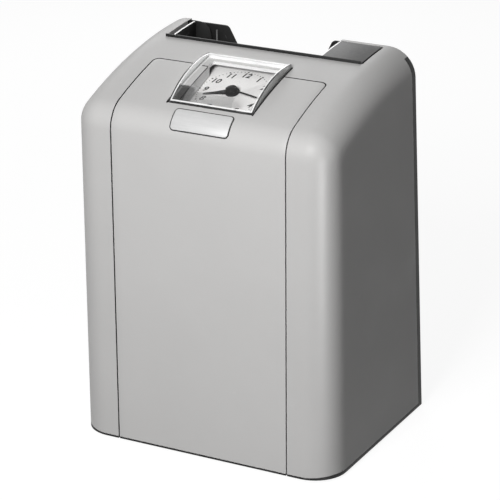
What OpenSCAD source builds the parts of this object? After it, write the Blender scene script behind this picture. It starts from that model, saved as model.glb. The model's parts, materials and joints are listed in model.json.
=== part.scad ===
// Desk time clock: lift-off case over a card printer with a small tilted dial.
// Millimetres. +Z up, the front faces -Y, the origin is the bottom centre.

/* [Case] */
// Width of the case at its foot
case_w = 200; // [190:1:220]
// Depth of the case at its foot
case_d = 149.2; // [145:0.1:165]
// Height of the case at the highest point of its crown
case_h = 272; // [266:1:290]
// Radius of the crown from front to back
crown_r = 341; // [320:1:380]
// Distance of the crown's highest point behind the middle
crown_y = 65.5; // [60:0.5:72]
// Radius of the front corners, the front top edge and the shoulders
edge_r = 20; // [16:0.5:24]
// Forward lean of the rear face, in degrees
rear_lean = 3.6; // [3:0.1:4]
// Thickness of the case wall
wall = 3; // [2.6:0.1:4]
// Height of the case above the surface it stands on
foot_h = 2; // [1.5:0.5:5]
// Width of the rim round the open rear of the case
rear_rim = 9; // [7:0.5:12]

/* [Front panel] */
// Width of the inlaid front panel
panel_w = 131.6; // [120:0.1:140]
// Thickness of the front panel
panel_t = 1.6; // [1:0.1:1.8]
// Place of the panel's rear edge on top of the case
panel_y = -15; // [-20:0.5:-10]
// Gap of the seam round the panel
seam = 0.6; // [0.2:0.1:0.8]

/* [Window] */
// Width of the bulged crystal
crystal_w = 64; // [60:0.5:68]
// Place of the crystal's front edge
crystal_front = -57.5; // [-59:0.5:-56]
// Place of the crystal's rear edge
crystal_rear = 0; // [-3:0.5:3]
// Radius of the crystal's bulge
crystal_r = 115; // [90:1:150]
// Height of the crystal's rear edge above the case
crystal_rise = 2.5; // [1.5:0.1:4]
// Thickness of the crystal
crystal_t = 1.5; // [1:0.1:2]
// Depth of the seat that the crystal sits in
seat_depth = 0.8; // [0.4:0.1:1]
// Width of the case opening under the crystal
window_w = 50; // [44:0.5:54]

/* [Nameplate] */
// Width of the bare nameplate
name_w = 42.4; // [36:0.1:50]
// Height of the nameplate, straight across its curve
name_h = 15.4; // [10:0.1:18]
// Thickness of the nameplate
name_t = 0.8; // [0.5:0.1:1.2]

/* [Dial] */
// Side of the square dial card
dial_side = 62; // [56:0.5:64]
// Tilt of the dial, in degrees
dial_tilt = 18.2; // [16:0.1:20]
// Place of the dial's centre behind the middle
dial_y = -24; // [-26:0.5:-22]
// Depth of the dial's centre below the crown
dial_drop = 10; // [8:0.1:13]
// Length of the minute hand from its hub
minute_len = 21.9; // [18:0.1:24]
// Length of the hour hand from its hub
hour_len = 20.4; // [14:0.1:21]
// Angle of the minute hand, clockwise from twelve, in degrees
minute_at = 102; // [0:1:359]
// Angle of the hour hand, clockwise from twelve, in degrees
hour_at = 248.5; // [0:0.5:359]

/* [Card receiver] */
// Width of the notch in the top of the case
notch_w = 153; // [148:0.5:156]
// Place of the lip at the front of the notch
lip_y = 18.9; // [16:0.1:22]
// Width of the card channel
channel_w = 88; // [84:0.5:92]
// Place of the card channel's middle, across the case
card_x = -5; // [-8:0.5:-3]
// Gap that the card slides in
card_gap = 3.5; // [2.5:0.1:4]
// Place of the card channel's front face
card_y = 35; // [34:0.1:36]
// Thickness of the receiver's sheet metal
sheet = 1.5; // [1:0.1:1.8]
// Depth of the mouth, from the crown down to where the card channel starts
funnel_deep = 50; // [46:1:57]

/* [Mechanism] */
// Radius of the type shaft
shaft_r = 3; // [2.5:0.1:3.5]
// Radial clearance of each running fit
running = 0.05; // [0.03:0.01:0.09]
// Radius of the type wheels over their type
type_r = 23; // [21:0.1:23.2]
// Width of each type wheel
type_w = 6; // [4:0.1:6.5]
// Teeth of the drive gear
drive_teeth = 56; // [50:1:57]
// Teeth of the motor pinion
pinion_teeth = 14; // [12:1:16]
// Tooth module of the drive gears
drive_module = 0.8; // [0.7:0.05:0.8]
// Radius of the motor
motor_r = 21; // [17:0.5:22]
// Length of the motor
motor_len = 24; // [18:0.5:28]
// Radius of the ribbon spools
spool_r = 13; // [11:0.5:14]
// Width of the ribbon
ribbon_w = 12.7; // [10:0.1:14]
// Thickness of the side frames
frame_t = 2; // [1.5:0.1:2.5]

/* [Base] */
// Thickness of the base plate
base_t = 2.5; // [2:0.1:3.5]
// Spacing of the base holes across the case
hole_dx = 120; // [100:1:130]
// Spacing of the base holes from front to back
hole_dy = 90; // [80:1:96]
// Radius of the base holes
hole_r = 2.5; // [2:0.1:3.5]
// Radius of the rubber feet
foot_r = 9; // [6:0.5:11]
// Radius of the inlet bush's bore
inlet_r = 4; // [3:0.1:5]

/* [Hidden] */
$fn = 64;

// Clearance between the case and what stands inside it
slack = 0.6;
// Small overreach of a cut past the face that it leaves
over = 1;
// Reach of a cut that leaves the whole part
far = 400;

// The crown's centre, and the centre of the front top edge inside it
crown_z = case_h - crown_r;
edge_y = -case_d / 2 + edge_r;
inner_r = crown_r - edge_r;
edge_angle = asin((crown_y - edge_y) / inner_r);
edge_z = crown_z + inner_r * cos(edge_angle);

// The crystal's arc goes through its front and rear edge
crystal_a = [crystal_front, crown_at(crystal_front)];
crystal_b = [crystal_rear, crown_at(crystal_rear) + crystal_rise];
crystal_chord = crystal_b - crystal_a;
crystal_half = norm(crystal_chord) / 2;
crystal_deep = sqrt(crystal_r * crystal_r - crystal_half * crystal_half);
crystal_down = [crystal_chord[1], -crystal_chord[0]] / norm(crystal_chord);
crystal_c = (crystal_a + crystal_b) / 2 + crystal_down * crystal_deep;
crystal_fit = 0.3;
window_edge = 4.6;
window_front = 2.5;
window_r = 2;

// Where the dial's centre lies, and how far down its axis the type shaft crosses
dial_z = crown_at(dial_y) - dial_drop;
dial_t = 1;
reach = 105;
shaft_y = dial_y + reach * sin(dial_tilt);
shaft_z = dial_z - reach * cos(dial_tilt);

// Base and rear
base_z = 1;
floor_z = base_z + base_t;
plate_in = 3.5;
plate_out = 2;
plate_half = case_w / 2 - rear_rim - slack + 0.1;
base_corner = 21;
lug = [8, 12, 10];
foot_dx = 156;
foot_dy = 100;
rear_top = case_h - 10.5;
rear_r = 14;
throat_z = case_h - 42;
screw_r = 3.2;
screw_h = 1.6;
screw_in = 7;
inlet_x = 55;
inlet_z = 24;
block = [36, 13, 13];
block_x = 38;
block_y = case_d / 2 - 24.6;

// Card receiver
funnel_z = case_h - funnel_deep;
front_y = card_y - sheet;
back_y = card_y + card_gap;
channel_x0 = card_x - channel_w / 2;
channel_x1 = card_x + channel_w / 2;
mouth_x0 = -notch_w / 2 + 5;
mouth_x1 = channel_x1 + 4;
ear_w = 19.5;
ear_in = 2.5;
guide_y = lip_y + 1.5;
guide_top = crown_at(lip_y) - wall + 0.3;
flare_z = guide_top - 9;
mouth_rear = case_d / 2 - 20.6;
plate_x1 = notch_w / 2 - 1.5;
edge_tab = 3;
stop_z = 34;
stop_h = 6;

// Side frames
frame_in = 3;
frame_x0 = channel_x0 + frame_in;
frame_x1 = channel_x1 - frame_in;
frame_y = -32;
rod_r = 3;

// Type wheels, from the frame inwards
wheel_gap = 2;
type_high = 1;
boss_r = 7;
print_edge = 3;
print_half = 9.5;
day_x = frame_x0 + frame_t + 3;
hour_x = day_x + type_w + wheel_gap;
minute_x = hour_x + type_w + wheel_gap;
window_z0 = shaft_z - print_half;
window_z1 = shaft_z + print_half;
print_x0 = day_x - print_edge;
print_x1 = minute_x + type_w + print_edge;
ribbon_y = shaft_y + type_r + 0.4;
ribbon_t = 0.3;

// Gears
drive_r = drive_teeth * drive_module / 2;
pinion_r = pinion_teeth * drive_module / 2;
drive_t = 3;
drive_x = frame_x1 - frame_t - 7;
motor_y = shaft_y - drive_r - pinion_r;
spindle_r = 2.5;
flange_t = 2;
contrate_teeth = 24;
contrate_m = 1;
contrate_r = contrate_teeth * contrate_m / 2;
contrate_root = contrate_r + 1.3;
contrate_disc = 2;
arbor_r = 1.5;
pipe_r = 2.6;
motion_r = 12;
motion_fine = 0.4;
motion_m = 0.5;
hand_t = 0.5;
minute_rise = 2.6;
hour_rise = 1.2;

// Levels below the dial, along its axis
pipe_low = 6;
motion_low = 9.5;
plate_low = 14;
plate_t = 1.5;
bracket_low = 70;

// Hammer
hammer_x = (print_x0 + print_x1) / 2;
hammer_y = 57;
hammer_z = shaft_z - 30;
hammer_bore = 2.5;
hammer_t = 4;
head_y = back_y + sheet + 2;
arm_w = 6;
tail_y = 50;
hub_r = 4;
hub_w = 18;
cheek_x = 13.5;
cheek_t = 2;

// Solenoid
coil_r = 8.6;
coil_h = 28;
coil_z = hammer_z - 54.3;
core_r = 3;
core_gap = 0.3;
yoke_t = 2;
yoke_w = 24;
stem_r = 1.6;

// Trigger
trigger_y = 25;
trigger_z = 60;
trigger_x = -8;
trigger_w = 6;
trigger_pin = 1.5;
trigger_hub = 3;
switch_size = [18, 12, 10];
switch_drop = 18;

// Spools
spool_dx = 65;
post_dx = 47;
spool_y = 18;
pack_r = 9.5;
post_r = 2;
rim_t = 1;
shelf_t = 1.5;
shelf_w = 21;
shelf_z = shaft_z - ribbon_w / 2 - 4;

// Lock
lock_y = -20;
lock_z = 150;
lock_r = 8;
lock_rim = 2;
lock_sunk = 1.2;
plug_r = 5;
lock_face = case_w / 2 - 0.2;
cam_x = 22 - case_w / 2;
cam_t = 1.5;
cam_w = 6;
cam_len = 16;
catch_t = 2;
catch_w = 8;
catch_dy = 9;

function crown_at(y) = case_h - crown_r + sqrt(crown_r * crown_r - (y - crown_y) * (y - crown_y));
function arc(c, r, a0, a1, n) =
    [for (i = [0:n]) c + r * [cos(a0 + (a1 - a0) * i / n), sin(a0 + (a1 - a0) * i / n)]];

// Everything above the feet is drawn from the foot of the case
module raised() {
    translate([0, 0, foot_h]) children();
}

// Outline in Y and Z, drawn out along X
module along_x(x0, x1) {
    translate([x0, 0, 0]) rotate([90, 0, 90]) linear_extrude(x1 - x0) children();
}

// Outline in X and Z, drawn out along Y
module along_y(y0, y1) {
    translate([0, y1, 0]) rotate([90, 0, 0]) linear_extrude(y1 - y0) children();
}

module rod_x(x0, x1, r) {
    translate([x0, 0, 0]) rotate([0, 90, 0]) cylinder(h = x1 - x0, r = r);
}

// Frame of the leaning rear face: Y points out of it, Z runs up it
module on_rear() {
    translate([0, case_d / 2, 0]) rotate([rear_lean, 0, 0]) children();
}

// Frame of the dial: its centre is the origin, Y points to twelve, Z at the reader
module on_dial() {
    translate([0, dial_y, dial_z]) rotate([dial_tilt, 0, 0]) children();
}

module on_shaft() {
    translate([0, shaft_y, shaft_z]) children();
}

module round_rect(x0, x1, y0, y1, r) {
    translate([x0 + r, y0]) square([x1 - x0 - 2 * r, y1 - y0]);
    translate([x0, y0 + r]) square([x1 - x0, y1 - y0 - 2 * r]);
    for (x = [x0 + r, x1 - r], y = [y0 + r, y1 - r])
        translate([x, y]) circle(r = r);
}

// Side view of the case, front and crown only, drawn in by an inset
module profile(inset) {
    translate([-case_d / 2 + inset, -far / 2]) square([case_d + 20, far / 2 + edge_z]);
    translate([edge_y, edge_z]) circle(r = edge_r - inset, $fn = 96);
    intersection() {
        translate([crown_y, crown_z]) circle(r = crown_r - inset, $fn = 360);
        translate([crown_y, crown_z])
            polygon([[0, 0], far * [-sin(edge_angle), cos(edge_angle)] * 1.2, [0, far * 1.2]]);
    }
}

// Wedge in Y and Z between two angles, with its point at a centre
module wedge_x(centre, from, to, reach) {
    middle = (from + to) / 2;
    far_r = reach / cos((to - from) / 2);
    along_x(-case_w, case_w) translate(centre)
        polygon([[0, 0], reach * [cos(from), sin(from)], far_r * [cos(middle), sin(middle)],
                 reach * [cos(to), sin(to)]]);
}

// A half section, turned once round the X axis that passes a centre
module turn_x(centre) {
    translate([0, centre[0], centre[1]]) rotate([0, 90, 0]) rotate_extrude($fn = 360) children();
}

// The rounded case as a solid that runs on past the rear face
module case_solid(inset, low) {
    half = case_w / 2;
    r = edge_r - inset;
    middle = half - edge_r;
    up = 90 + edge_angle;
    // Upright walls with round front corners
    translate([0, 0, low]) linear_extrude(edge_z - low) {
        translate([-middle, edge_y - r]) square([2 * middle, case_d + far / 4]);
        translate([inset - half, edge_y]) square([case_w - 2 * inset, case_d + far / 4]);
        for (x = [-middle, middle])
            translate([x, edge_y]) circle(r = r);
    }
    // Front top edge, with a ball at each end
    intersection() {
        turn_x([edge_y, edge_z]) {
            translate([0, -middle]) square([r, 2 * middle]);
            for (x = [-middle, middle])
                translate([0, x]) intersection() {
                    circle(r = r);
                    translate([0, -r]) square([r, 2 * r]);
                }
        }
        wedge_x([edge_y, edge_z], up, 180, edge_r * 2);
    }
    // Crown with its round shoulders
    intersection() {
        turn_x([crown_y, crown_z]) {
            translate([inner_r - edge_r * 3, inset - half]) square([edge_r * 3, case_w - 2 * inset]);
            translate([inner_r - edge_r * 3, -middle]) square([edge_r * 3 + r, 2 * middle]);
            for (x = [-middle, middle])
                translate([inner_r, x]) circle(r = r);
        }
        wedge_x([crown_y, crown_z], 60, up, crown_r * 1.2);
    }
}

// Space that the front panel takes out of the face, with its round top corners
module panel_space(gap, depth) {
    half = panel_w / 2 + gap;
    intersection() {
        along_x(-half, half) difference() {
            translate([-case_d, -over]) square([case_d * 2, far]);
            profile(depth);
        }
        translate([0, 0, -over])
            linear_extrude(far) round_rect(-half, half, -case_d, panel_y + gap, 4 + gap);
    }
}

// Opening in the case under the crystal, and the seat round it
module window_cut() {
    half = window_w / 2;
    translate([0, 0, dial_z - 40]) linear_extrude(far / 2)
        round_rect(-half, half, crystal_front + window_front, crystal_rear - window_edge, window_r);
    seat = crystal_w / 2 + crystal_fit;
    intersection() {
        along_x(-seat, seat) difference() {
            translate([-case_d, 0]) square([case_d * 2, far]);
            profile(seat_depth);
        }
        translate([-seat, crystal_front - crystal_fit, 0])
            cube([2 * seat, crystal_rear - crystal_front + 2 * crystal_fit, far]);
    }
}

module notch_cut() {
    half = notch_w / 2;
    rim_front = mouth_rear + slack;
    translate([0, 0, funnel_z]) linear_extrude(far / 2)
        round_rect(-half, half, lip_y, rim_front, window_r);
    translate([mouth_x0 + ear_in, rim_front - over, funnel_z])
        cube([mouth_x1 - mouth_x0 - ear_in, case_d / 2 - mouth_rear + over, far / 2]);
}

module cover() {
    half = case_w / 2 - rear_rim;
    color([0.66, 0.66, 0.65]) raised() {
        difference() {
            case_solid(0, 0);
            difference() {
                case_solid(wall, -over);
                on_rear() translate([-far / 2, -wall, -far / 4]) cube([far, far, far * 2]);
            }
            on_rear() translate([-far / 2, 0, -far / 4]) cube([far, far, far * 2]);
            on_rear() along_y(-wall - over, over)
                round_rect(-half, half, -far / 4, rear_top, rear_r);
            panel_space(seam, panel_t + 0.2);
            window_cut();
            notch_cut();
            translate([-case_w / 2, lock_y, lock_z]) {
                rod_x(-over, wall * 2, lock_r + 0.1);
                rod_x(-over, lock_sunk, lock_r + lock_rim + 0.2);
            }
        }
        // Lugs on the side walls that stand on the base plate
        for (side = [-1, 1], y = [-30, 40])
            translate([side * (case_w / 2 - wall - lug[0] / 2 + 1), y, floor_z + crystal_fit + lug[2] / 2])
                cube(lug, center = true);
    }
}

module front_panel() {
    color([0.70, 0.70, 0.69]) raised() difference() {
        panel_space(0, panel_t);
        along_x(-far / 2, far / 2) difference() {
            translate([-case_d, -over * 2]) square([case_d * 2, far * 1.5]);
            profile(0);
        }
        translate([-far / 2, -far / 2, -over * 2]) cube([far, far, over * 2]);
        window_cut();
    }
}

module crystal() {
    half = crystal_w / 2;
    color([0.9, 0.95, 1, 0.35]) raised() difference() {
        along_x(-half, half) difference() {
            intersection() {
                translate(crystal_c) circle(r = crystal_r, $fn = 180);
                translate([crystal_front, 0]) square([crystal_rear - crystal_front, far]);
            }
            profile(seat_depth);
        }
        along_x(-half + crystal_t, half - crystal_t) intersection() {
            translate(crystal_c) circle(r = crystal_r - crystal_t, $fn = 180);
            translate([crystal_front + 2, 0])
                square([crystal_rear - crystal_front - 2 - crystal_t, far]);
        }
    }
}

module nameplate() {
    half = name_w / 2;
    color([0.78, 0.78, 0.76]) raised() translate([0, edge_y, edge_z]) intersection() {
        along_x(-half, half) difference() {
            circle(r = edge_r + name_t, $fn = 96);
            circle(r = edge_r, $fn = 96);
        }
        rotate([45.5, 0, 0]) linear_extrude(edge_r * 2)
            round_rect(-half, half, -name_h / 2, name_h / 2, 3);
    }
}

module lock_barrel() {
    color("silver") raised() translate([0, lock_y, lock_z]) difference() {
        union() {
            rod_x(-lock_face + 1, cam_x - 2, lock_r);
            rod_x(-lock_face, -lock_face + 1, lock_r + lock_rim);
        }
        rod_x(-case_w, cam_x + over, plug_r + running);
    }
}

module lock_plug() {
    color("gold") raised() translate([0, lock_y, lock_z]) difference() {
        union() {
            rod_x(-lock_face + 0.3, cam_x, plug_r);
            along_x(cam_x - cam_t, cam_x) {
                circle(r = plug_r + 1.5);
                translate([-cam_w / 2, -cam_len]) square([cam_w, cam_len]);
            }
        }
        // Key slot
        translate([-case_w / 2 + 2, 0, 0]) cube([4, 1.2, plug_r * 1.1], center = true);
    }
}

module base_outline(inset) {
    r = base_corner;
    x = case_w / 2 - inset;
    y = case_d / 2 - inset;
    translate([-x + r, -y]) square([2 * (x - r), r * 2]);
    translate([-x, -y + r]) square([2 * x, 2 * y - r - 1]);
    for (side = [-1, 1])
        translate([side * (x - r), -y + r]) circle(r = r);
}

module base_plate() {
    color([0.25, 0.25, 0.26]) raised() translate([0, 0, base_z]) difference() {
        linear_extrude(base_t) {
            base_outline(wall + slack);
            translate([-plate_half, 0]) square([2 * plate_half, case_d / 2 - plate_out]);
        }
        for (x = [-1, 1], y = [-1, 1])
            translate([x * hole_dx / 2, y * hole_dy / 2, -over])
                cylinder(r = hole_r, h = base_t + 2 * over);
    }
}

module feet() {
    color([0.1, 0.1, 0.1]) for (x = [-foot_dx, foot_dx] / 2, y = [-foot_dy, foot_dy] / 2)
        translate([x, y, 0]) rotate_extrude()
            polygon([[0, 0], [foot_r - 1, 0], [foot_r, 1], [foot_r, foot_h + base_z], [0, foot_h + base_z]]);
}

module back_plate() {
    color([0.3, 0.3, 0.31]) raised() difference() {
        on_rear() along_y(-plate_in, -plate_out) difference() {
            round_rect(-plate_half, plate_half, -rear_r, rear_top - slack, rear_r - slack);
            translate([mouth_x0 + 1.5, throat_z]) square([mouth_x1 - mouth_x0 - 1, far]);
        }
        translate([-far / 2, -far / 2, floor_z - far]) cube([far, far, far]);
        inlet_place() rotate([90, 0, 0]) cylinder(r = inlet_r + 2, h = 20, center = true);
    }
}

module inlet_place() {
    on_rear() translate([inlet_x, 0, inlet_z]) children();
}

module inlet_bush() {
    color([0.08, 0.08, 0.08]) raised() inlet_place() rotate([90, 0, 0]) difference() {
        union() {
            translate([0, 0, 0.3]) cylinder(r = inlet_r + 4, h = plate_out - 0.3);
            translate([0, 0, plate_out]) cylinder(r = inlet_r + 2, h = 4);
            translate([0, 0, plate_in]) cylinder(r = inlet_r + 3.5, h = 2);
        }
        translate([0, 0, -over]) cylinder(r = inlet_r, h = 10);
    }
}

module back_screws() {
    color("silver") raised() on_rear()
        for (side = [-1, 1], z = [rear_r, (throat_z + rear_r) / 2, throat_z - rear_r])
            translate([side * (plate_half - screw_in), -plate_out, z]) rotate([-90, 0, 0]) difference() {
                cylinder(r = screw_r, h = screw_h);
                translate([-screw_r - over, -0.4, screw_h - 0.6]) cube([2 * (screw_r + over), 0.8, over]);
            }
}

// Rear plate of the receiver: an ear at each side of its deep finger notch
module rear_plate() {
    low = throat_z - 8;
    top = crown_at(mouth_rear) - 0.5;
    deep = throat_z + 16;
    ear = channel_w / 2 - 0.5;
    foot = ear - ear_w;
    color([0.1, 0.1, 0.1]) raised() on_rear() along_y(-plate_out, -0.5) difference() {
        translate([mouth_x0 + ear_in, low]) square([mouth_x1 - mouth_x0 - ear_in - 0.5, top - low]);
        translate([card_x, 0]) polygon(concat(
            arc([-ear, top - 4], 4, 90, 20, 6),
            arc([-foot, deep + 7], 7, 200, 270, 6),
            arc([foot, deep + 7], 7, 270, 340, 6),
            arc([ear, top - 4], 4, 160, 90, 6),
            [[ear, top + over], [-ear, top + over]]));
    }
}

module receiver_left() {
    color([0.55, 0.55, 0.55]) raised() along_x(mouth_x0 - sheet, mouth_x0) intersection() {
        profile(0.5);
        translate([guide_y, funnel_z - 4]) square([mouth_rear - guide_y, far]);
    }
}

module top_plate() {
    color([0.4, 0.4, 0.4]) raised() {
        along_x(mouth_x1, plate_x1) intersection() {
            difference() {
                profile(0);
                profile(sheet);
            }
            translate([guide_y, funnel_z]) square([mouth_rear - guide_y, far]);
        }
        along_x(mouth_x1, mouth_x1 + sheet) intersection() {
            profile(sheet / 2);
            translate([guide_y, funnel_z - 4]) square([mouth_rear - guide_y, far]);
        }
    }
}

// Front view of a guide: narrow channel below, wide funnel above
module guide_front_view() {
    translate([channel_x0 - edge_tab, floor_z])
        square([channel_w + 2 * edge_tab, funnel_z - floor_z]);
    translate([mouth_x0, funnel_z - 4]) square([mouth_x1 - mouth_x0, far]);
}

module card_guide_front() {
    color([0.6, 0.6, 0.6]) raised() difference() {
        intersection() {
            along_x(mouth_x0, mouth_x1) polygon([
                [front_y, floor_z], [card_y, floor_z], [card_y, funnel_z],
                [guide_y + sheet, flare_z], [guide_y + sheet, guide_top],
                [guide_y, guide_top], [guide_y, flare_z - 0.6], [front_y, funnel_z - 0.6]]);
            along_y(0, case_d / 2) guide_front_view();
        }
        translate([print_x0, front_y - over, window_z0])
            cube([print_x1 - print_x0, 2 * over + sheet, window_z1 - window_z0]);
        translate([trigger_x - 1, front_y - over, trigger_z - 9])
            cube([trigger_w + 2, 2 * over + sheet, 16]);
    }
}

module card_guide_rear() {
    rise = 21;
    color([0.6, 0.6, 0.6]) raised() difference() {
        intersection() {
            along_x(mouth_x0, mouth_x1) polygon([
                [back_y, floor_z], [back_y + sheet, floor_z], [back_y + sheet, funnel_z - 0.6],
                [mouth_rear - 2, funnel_z + rise - sheet], [mouth_rear, funnel_z + rise - sheet],
                [mouth_rear, funnel_z + rise], [mouth_rear - 3, funnel_z + rise],
                [back_y, funnel_z]]);
            along_y(0, case_d / 2) guide_front_view();
        }
        translate([print_x0 - 1, back_y - over, window_z0 - 2])
            cube([print_x1 - print_x0 + 2, 2 * over + sheet, window_z1 - window_z0 + 4]);
    }
}

module card_stop() {
    color([0.75, 0.75, 0.7]) raised() translate([channel_x0, card_y, stop_z])
        cube([channel_w, card_gap, stop_h]);
}

// One side frame of the movement, seen from the side
module frame_outline(shaft_hole) {
    top_y = dial_y + plate_low * sin(dial_tilt);
    top_z = dial_z - plate_low * cos(dial_tilt);
    run = [cos(dial_tilt), sin(dial_tilt)];
    top = [top_y, top_z] - plate_t * [-sin(dial_tilt), cos(dial_tilt)];
    high = shaft_z - floor_z;
    difference() {
        polygon([[frame_y, floor_z], [front_y, floor_z], [front_y, funnel_z - 6], top + 25 * run,
                 top - 24 * run, [frame_y - 10, top_z - 25], [frame_y, top_z - 49]]);
        translate([shaft_y, shaft_z]) circle(r = shaft_hole);
        translate([ribbon_y - 4, window_z0]) square([20, window_z1 - window_z0]);
        // Lightening holes, spaced by their share of the height below the shaft
        for (share = [0.28, 0.53, 0.78]) {
            translate([6, floor_z + share * high]) circle(r = 11);
            translate([-18, floor_z + (share + 0.02) * high]) circle(r = 7);
        }
    }
}

module frame_left() {
    color([0.62, 0.62, 0.6]) raised() along_x(frame_x0, frame_x0 + frame_t)
        frame_outline(shaft_r + running);
}

module frame_right() {
    color([0.62, 0.62, 0.6]) raised() difference() {
        along_x(frame_x1 - frame_t, frame_x1) frame_outline(shaft_r + running);
        translate([0, motor_y, shaft_z]) rod_x(0, far / 4, pinion_r + 1.5);
    }
}

module tie_rods() {
    color([0.7, 0.7, 0.72]) raised()
        for (p = [[frame_y + 8, floor_z + 14.5], [card_y - 7, floor_z + 18.5],
                  [frame_y - 2, dial_z - 42], [card_y - 13, funnel_z - 22]])
            translate([0, p[0], p[1]]) rod_x(frame_x0 + frame_t, frame_x1 - frame_t, rod_r);
}

// Spur gear outline with straight-sided teeth and running backlash
module gear_outline(teeth, m) {
    pitch = teeth * m / 2;
    root = pitch - 1.25 * m;
    tip = pitch + 0.8 * m;
    wide = 0.62 * m;
    circle(r = root + 0.02, $fn = teeth * 2);
    for (i = [0:teeth - 1])
        rotate(360 * i / teeth)
            polygon([[root - m * 0.3, -wide * 1.3], [pitch, -wide], [tip, -wide * 0.45],
                     [tip, wide * 0.45], [pitch, wide], [root - m * 0.3, wide * 1.3]]);
}

module motor() {
    color([0.45, 0.45, 0.48]) raised() translate([0, motor_y, shaft_z]) difference() {
        union() {
            rod_x(frame_x1, frame_x1 + flange_t, motor_r + 2);
            rod_x(frame_x1 + flange_t, frame_x1 + motor_len, motor_r);
            rod_x(frame_x1 + motor_len, frame_x1 + motor_len + 3, motor_r * 0.45);
        }
        rod_x(0, frame_x1 + 8, spindle_r + running);
    }
}

module motor_pinion() {
    color("gold") raised() translate([0, motor_y, shaft_z]) {
        along_x(drive_x - 1, drive_x + drive_t + 1) rotate(180 / pinion_teeth)
            gear_outline(pinion_teeth, drive_module);
        rod_x(drive_x + drive_t + 1, frame_x1 + 7, spindle_r);
    }
}

// Contrate wheel: a disc with teeth that stand along its axis
module contrate() {
    tooth = [2.3, 0.9, 3];
    rod_x(contrate_root, contrate_root + contrate_disc, contrate_r + 2);
    for (i = [0:contrate_teeth - 1])
        rotate([dial_tilt + 360 * i / contrate_teeth, 0, 0])
            translate([contrate_root + 0.1 - tooth[0], -tooth[1] / 2, contrate_r - tooth[2] / 2])
                cube(tooth);
}

module drive_shaft() {
    color([0.8, 0.68, 0.35]) raised() on_shaft() {
        rod_x(frame_x0 - 1, frame_x1 + 1, shaft_r);
        along_x(drive_x, drive_x + drive_t) gear_outline(drive_teeth, drive_module);
        rod_x(drive_x - 4, drive_x, boss_r);
        contrate();
        rod_x(contrate_root + contrate_disc - 0.1, contrate_root + contrate_disc + 4, boss_r - 1);
    }
}

// Type wheel with raised type blocks round its rim
module type_wheel(x, blocks, bore) {
    on_shaft() translate([x, 0, 0]) difference() {
        union() {
            rod_x(0, type_w, type_r - type_high);
            rod_x(-wheel_gap + 0.5, type_w, boss_r);
            for (i = [0:blocks - 1])
                rotate([360 * i / blocks, 0, 0])
                    translate([0.8, -0.7, type_r - 2 * type_high]) cube([type_w - 1.6, 1.4, 2 * type_high]);
        }
        rod_x(-far, far, bore);
        for (i = [0:5])
            rotate([60 * i, 0, 0]) translate([0, 0, 13]) rod_x(-over, type_w + over, 3.6);
    }
}

module minute_wheel() {
    color([0.82, 0.7, 0.4]) raised() type_wheel(minute_x, 60, shaft_r);
}

module hour_wheel() {
    color([0.82, 0.7, 0.4]) raised() type_wheel(hour_x, 24, shaft_r + running);
}

module day_wheel() {
    color([0.82, 0.7, 0.4]) raised() type_wheel(day_x, 14, shaft_r + running);
}

module minute_arbor() {
    foot = contrate_r - reach;
    color([0.8, 0.68, 0.35]) raised() on_dial() {
        translate([0, 0, foot - 3]) cylinder(r = arbor_r, h = 3 - foot + minute_rise + hand_t + 0.3);
        translate([0, 0, foot - 1.5]) linear_extrude(3) rotate(180 / contrate_teeth)
            gear_outline(contrate_teeth, contrate_m * 0.98);
        translate([0, 0, -motion_low - 1]) linear_extrude(3) gear_outline(12, motion_m);
    }
}

module hand_place(at) {
    on_dial() rotate(-at) children();
}

module minute_hand() {
    hub = 2.6;
    broad = minute_len * 0.7;
    color([0.05, 0.05, 0.05]) raised() hand_place(minute_at) translate([0, 0, minute_rise]) difference() {
        union() {
            linear_extrude(hand_t) {
                polygon([[-1.1, 2], [-0.9, broad], [0, minute_len], [0.9, broad], [1.1, 2]]);
                polygon([[-1.1, -2], [-0.8, -hub * 2], [0.8, -hub * 2], [1.1, -2]]);
            }
            cylinder(r = hub, h = hand_t);
        }
        translate([0, 0, -over]) cylinder(r = arbor_r, h = 4);
    }
}

module motion_wheel() {
    color([0.8, 0.68, 0.35]) raised() on_dial() translate([motion_r, 0, -motion_low - 1]) difference() {
        union() {
            linear_extrude(2) rotate(180 / 36) gear_outline(36, motion_m);
            linear_extrude(5.6) gear_outline(12, motion_fine);
        }
        translate([0, 0, -over]) cylinder(r = 1 + running, h = 20);
    }
}

module hour_pipe() {
    color([0.8, 0.68, 0.35]) raised() on_dial() difference() {
        union() {
            translate([0, 0, -pipe_low]) linear_extrude(1.6) rotate(180 / 48)
                gear_outline(48, motion_fine);
            translate([0, 0, -pipe_low]) cylinder(r = pipe_r, h = pipe_low + hour_rise + hand_t + 0.2);
        }
        translate([0, 0, -20]) cylinder(r = arbor_r + running, h = 40);
    }
}

module hour_hand() {
    hub = pipe_r + 1;
    broad = hour_len * 0.62;
    color([0.05, 0.05, 0.05]) raised() hand_place(hour_at) translate([0, 0, hour_rise]) difference() {
        union() {
            linear_extrude(hand_t)
                polygon([[-1.6, hub - 0.7], [-2.3, broad], [0, hour_len], [2.3, broad], [1.6, hub - 0.7]]);
            cylinder(r = hub, h = hand_t);
        }
        translate([0, 0, -over]) cylinder(r = pipe_r, h = 4);
    }
}

module dial_plate() {
    half = dial_side / 2;
    color([0.93, 0.93, 0.9]) raised() on_dial() translate([0, 0, -dial_t]) difference() {
        linear_extrude(dial_t) round_rect(-half, half, -half, half, 1);
        translate([0, 0, -over]) cylinder(r = pipe_r + 0.4, h = 5);
    }
}

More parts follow.
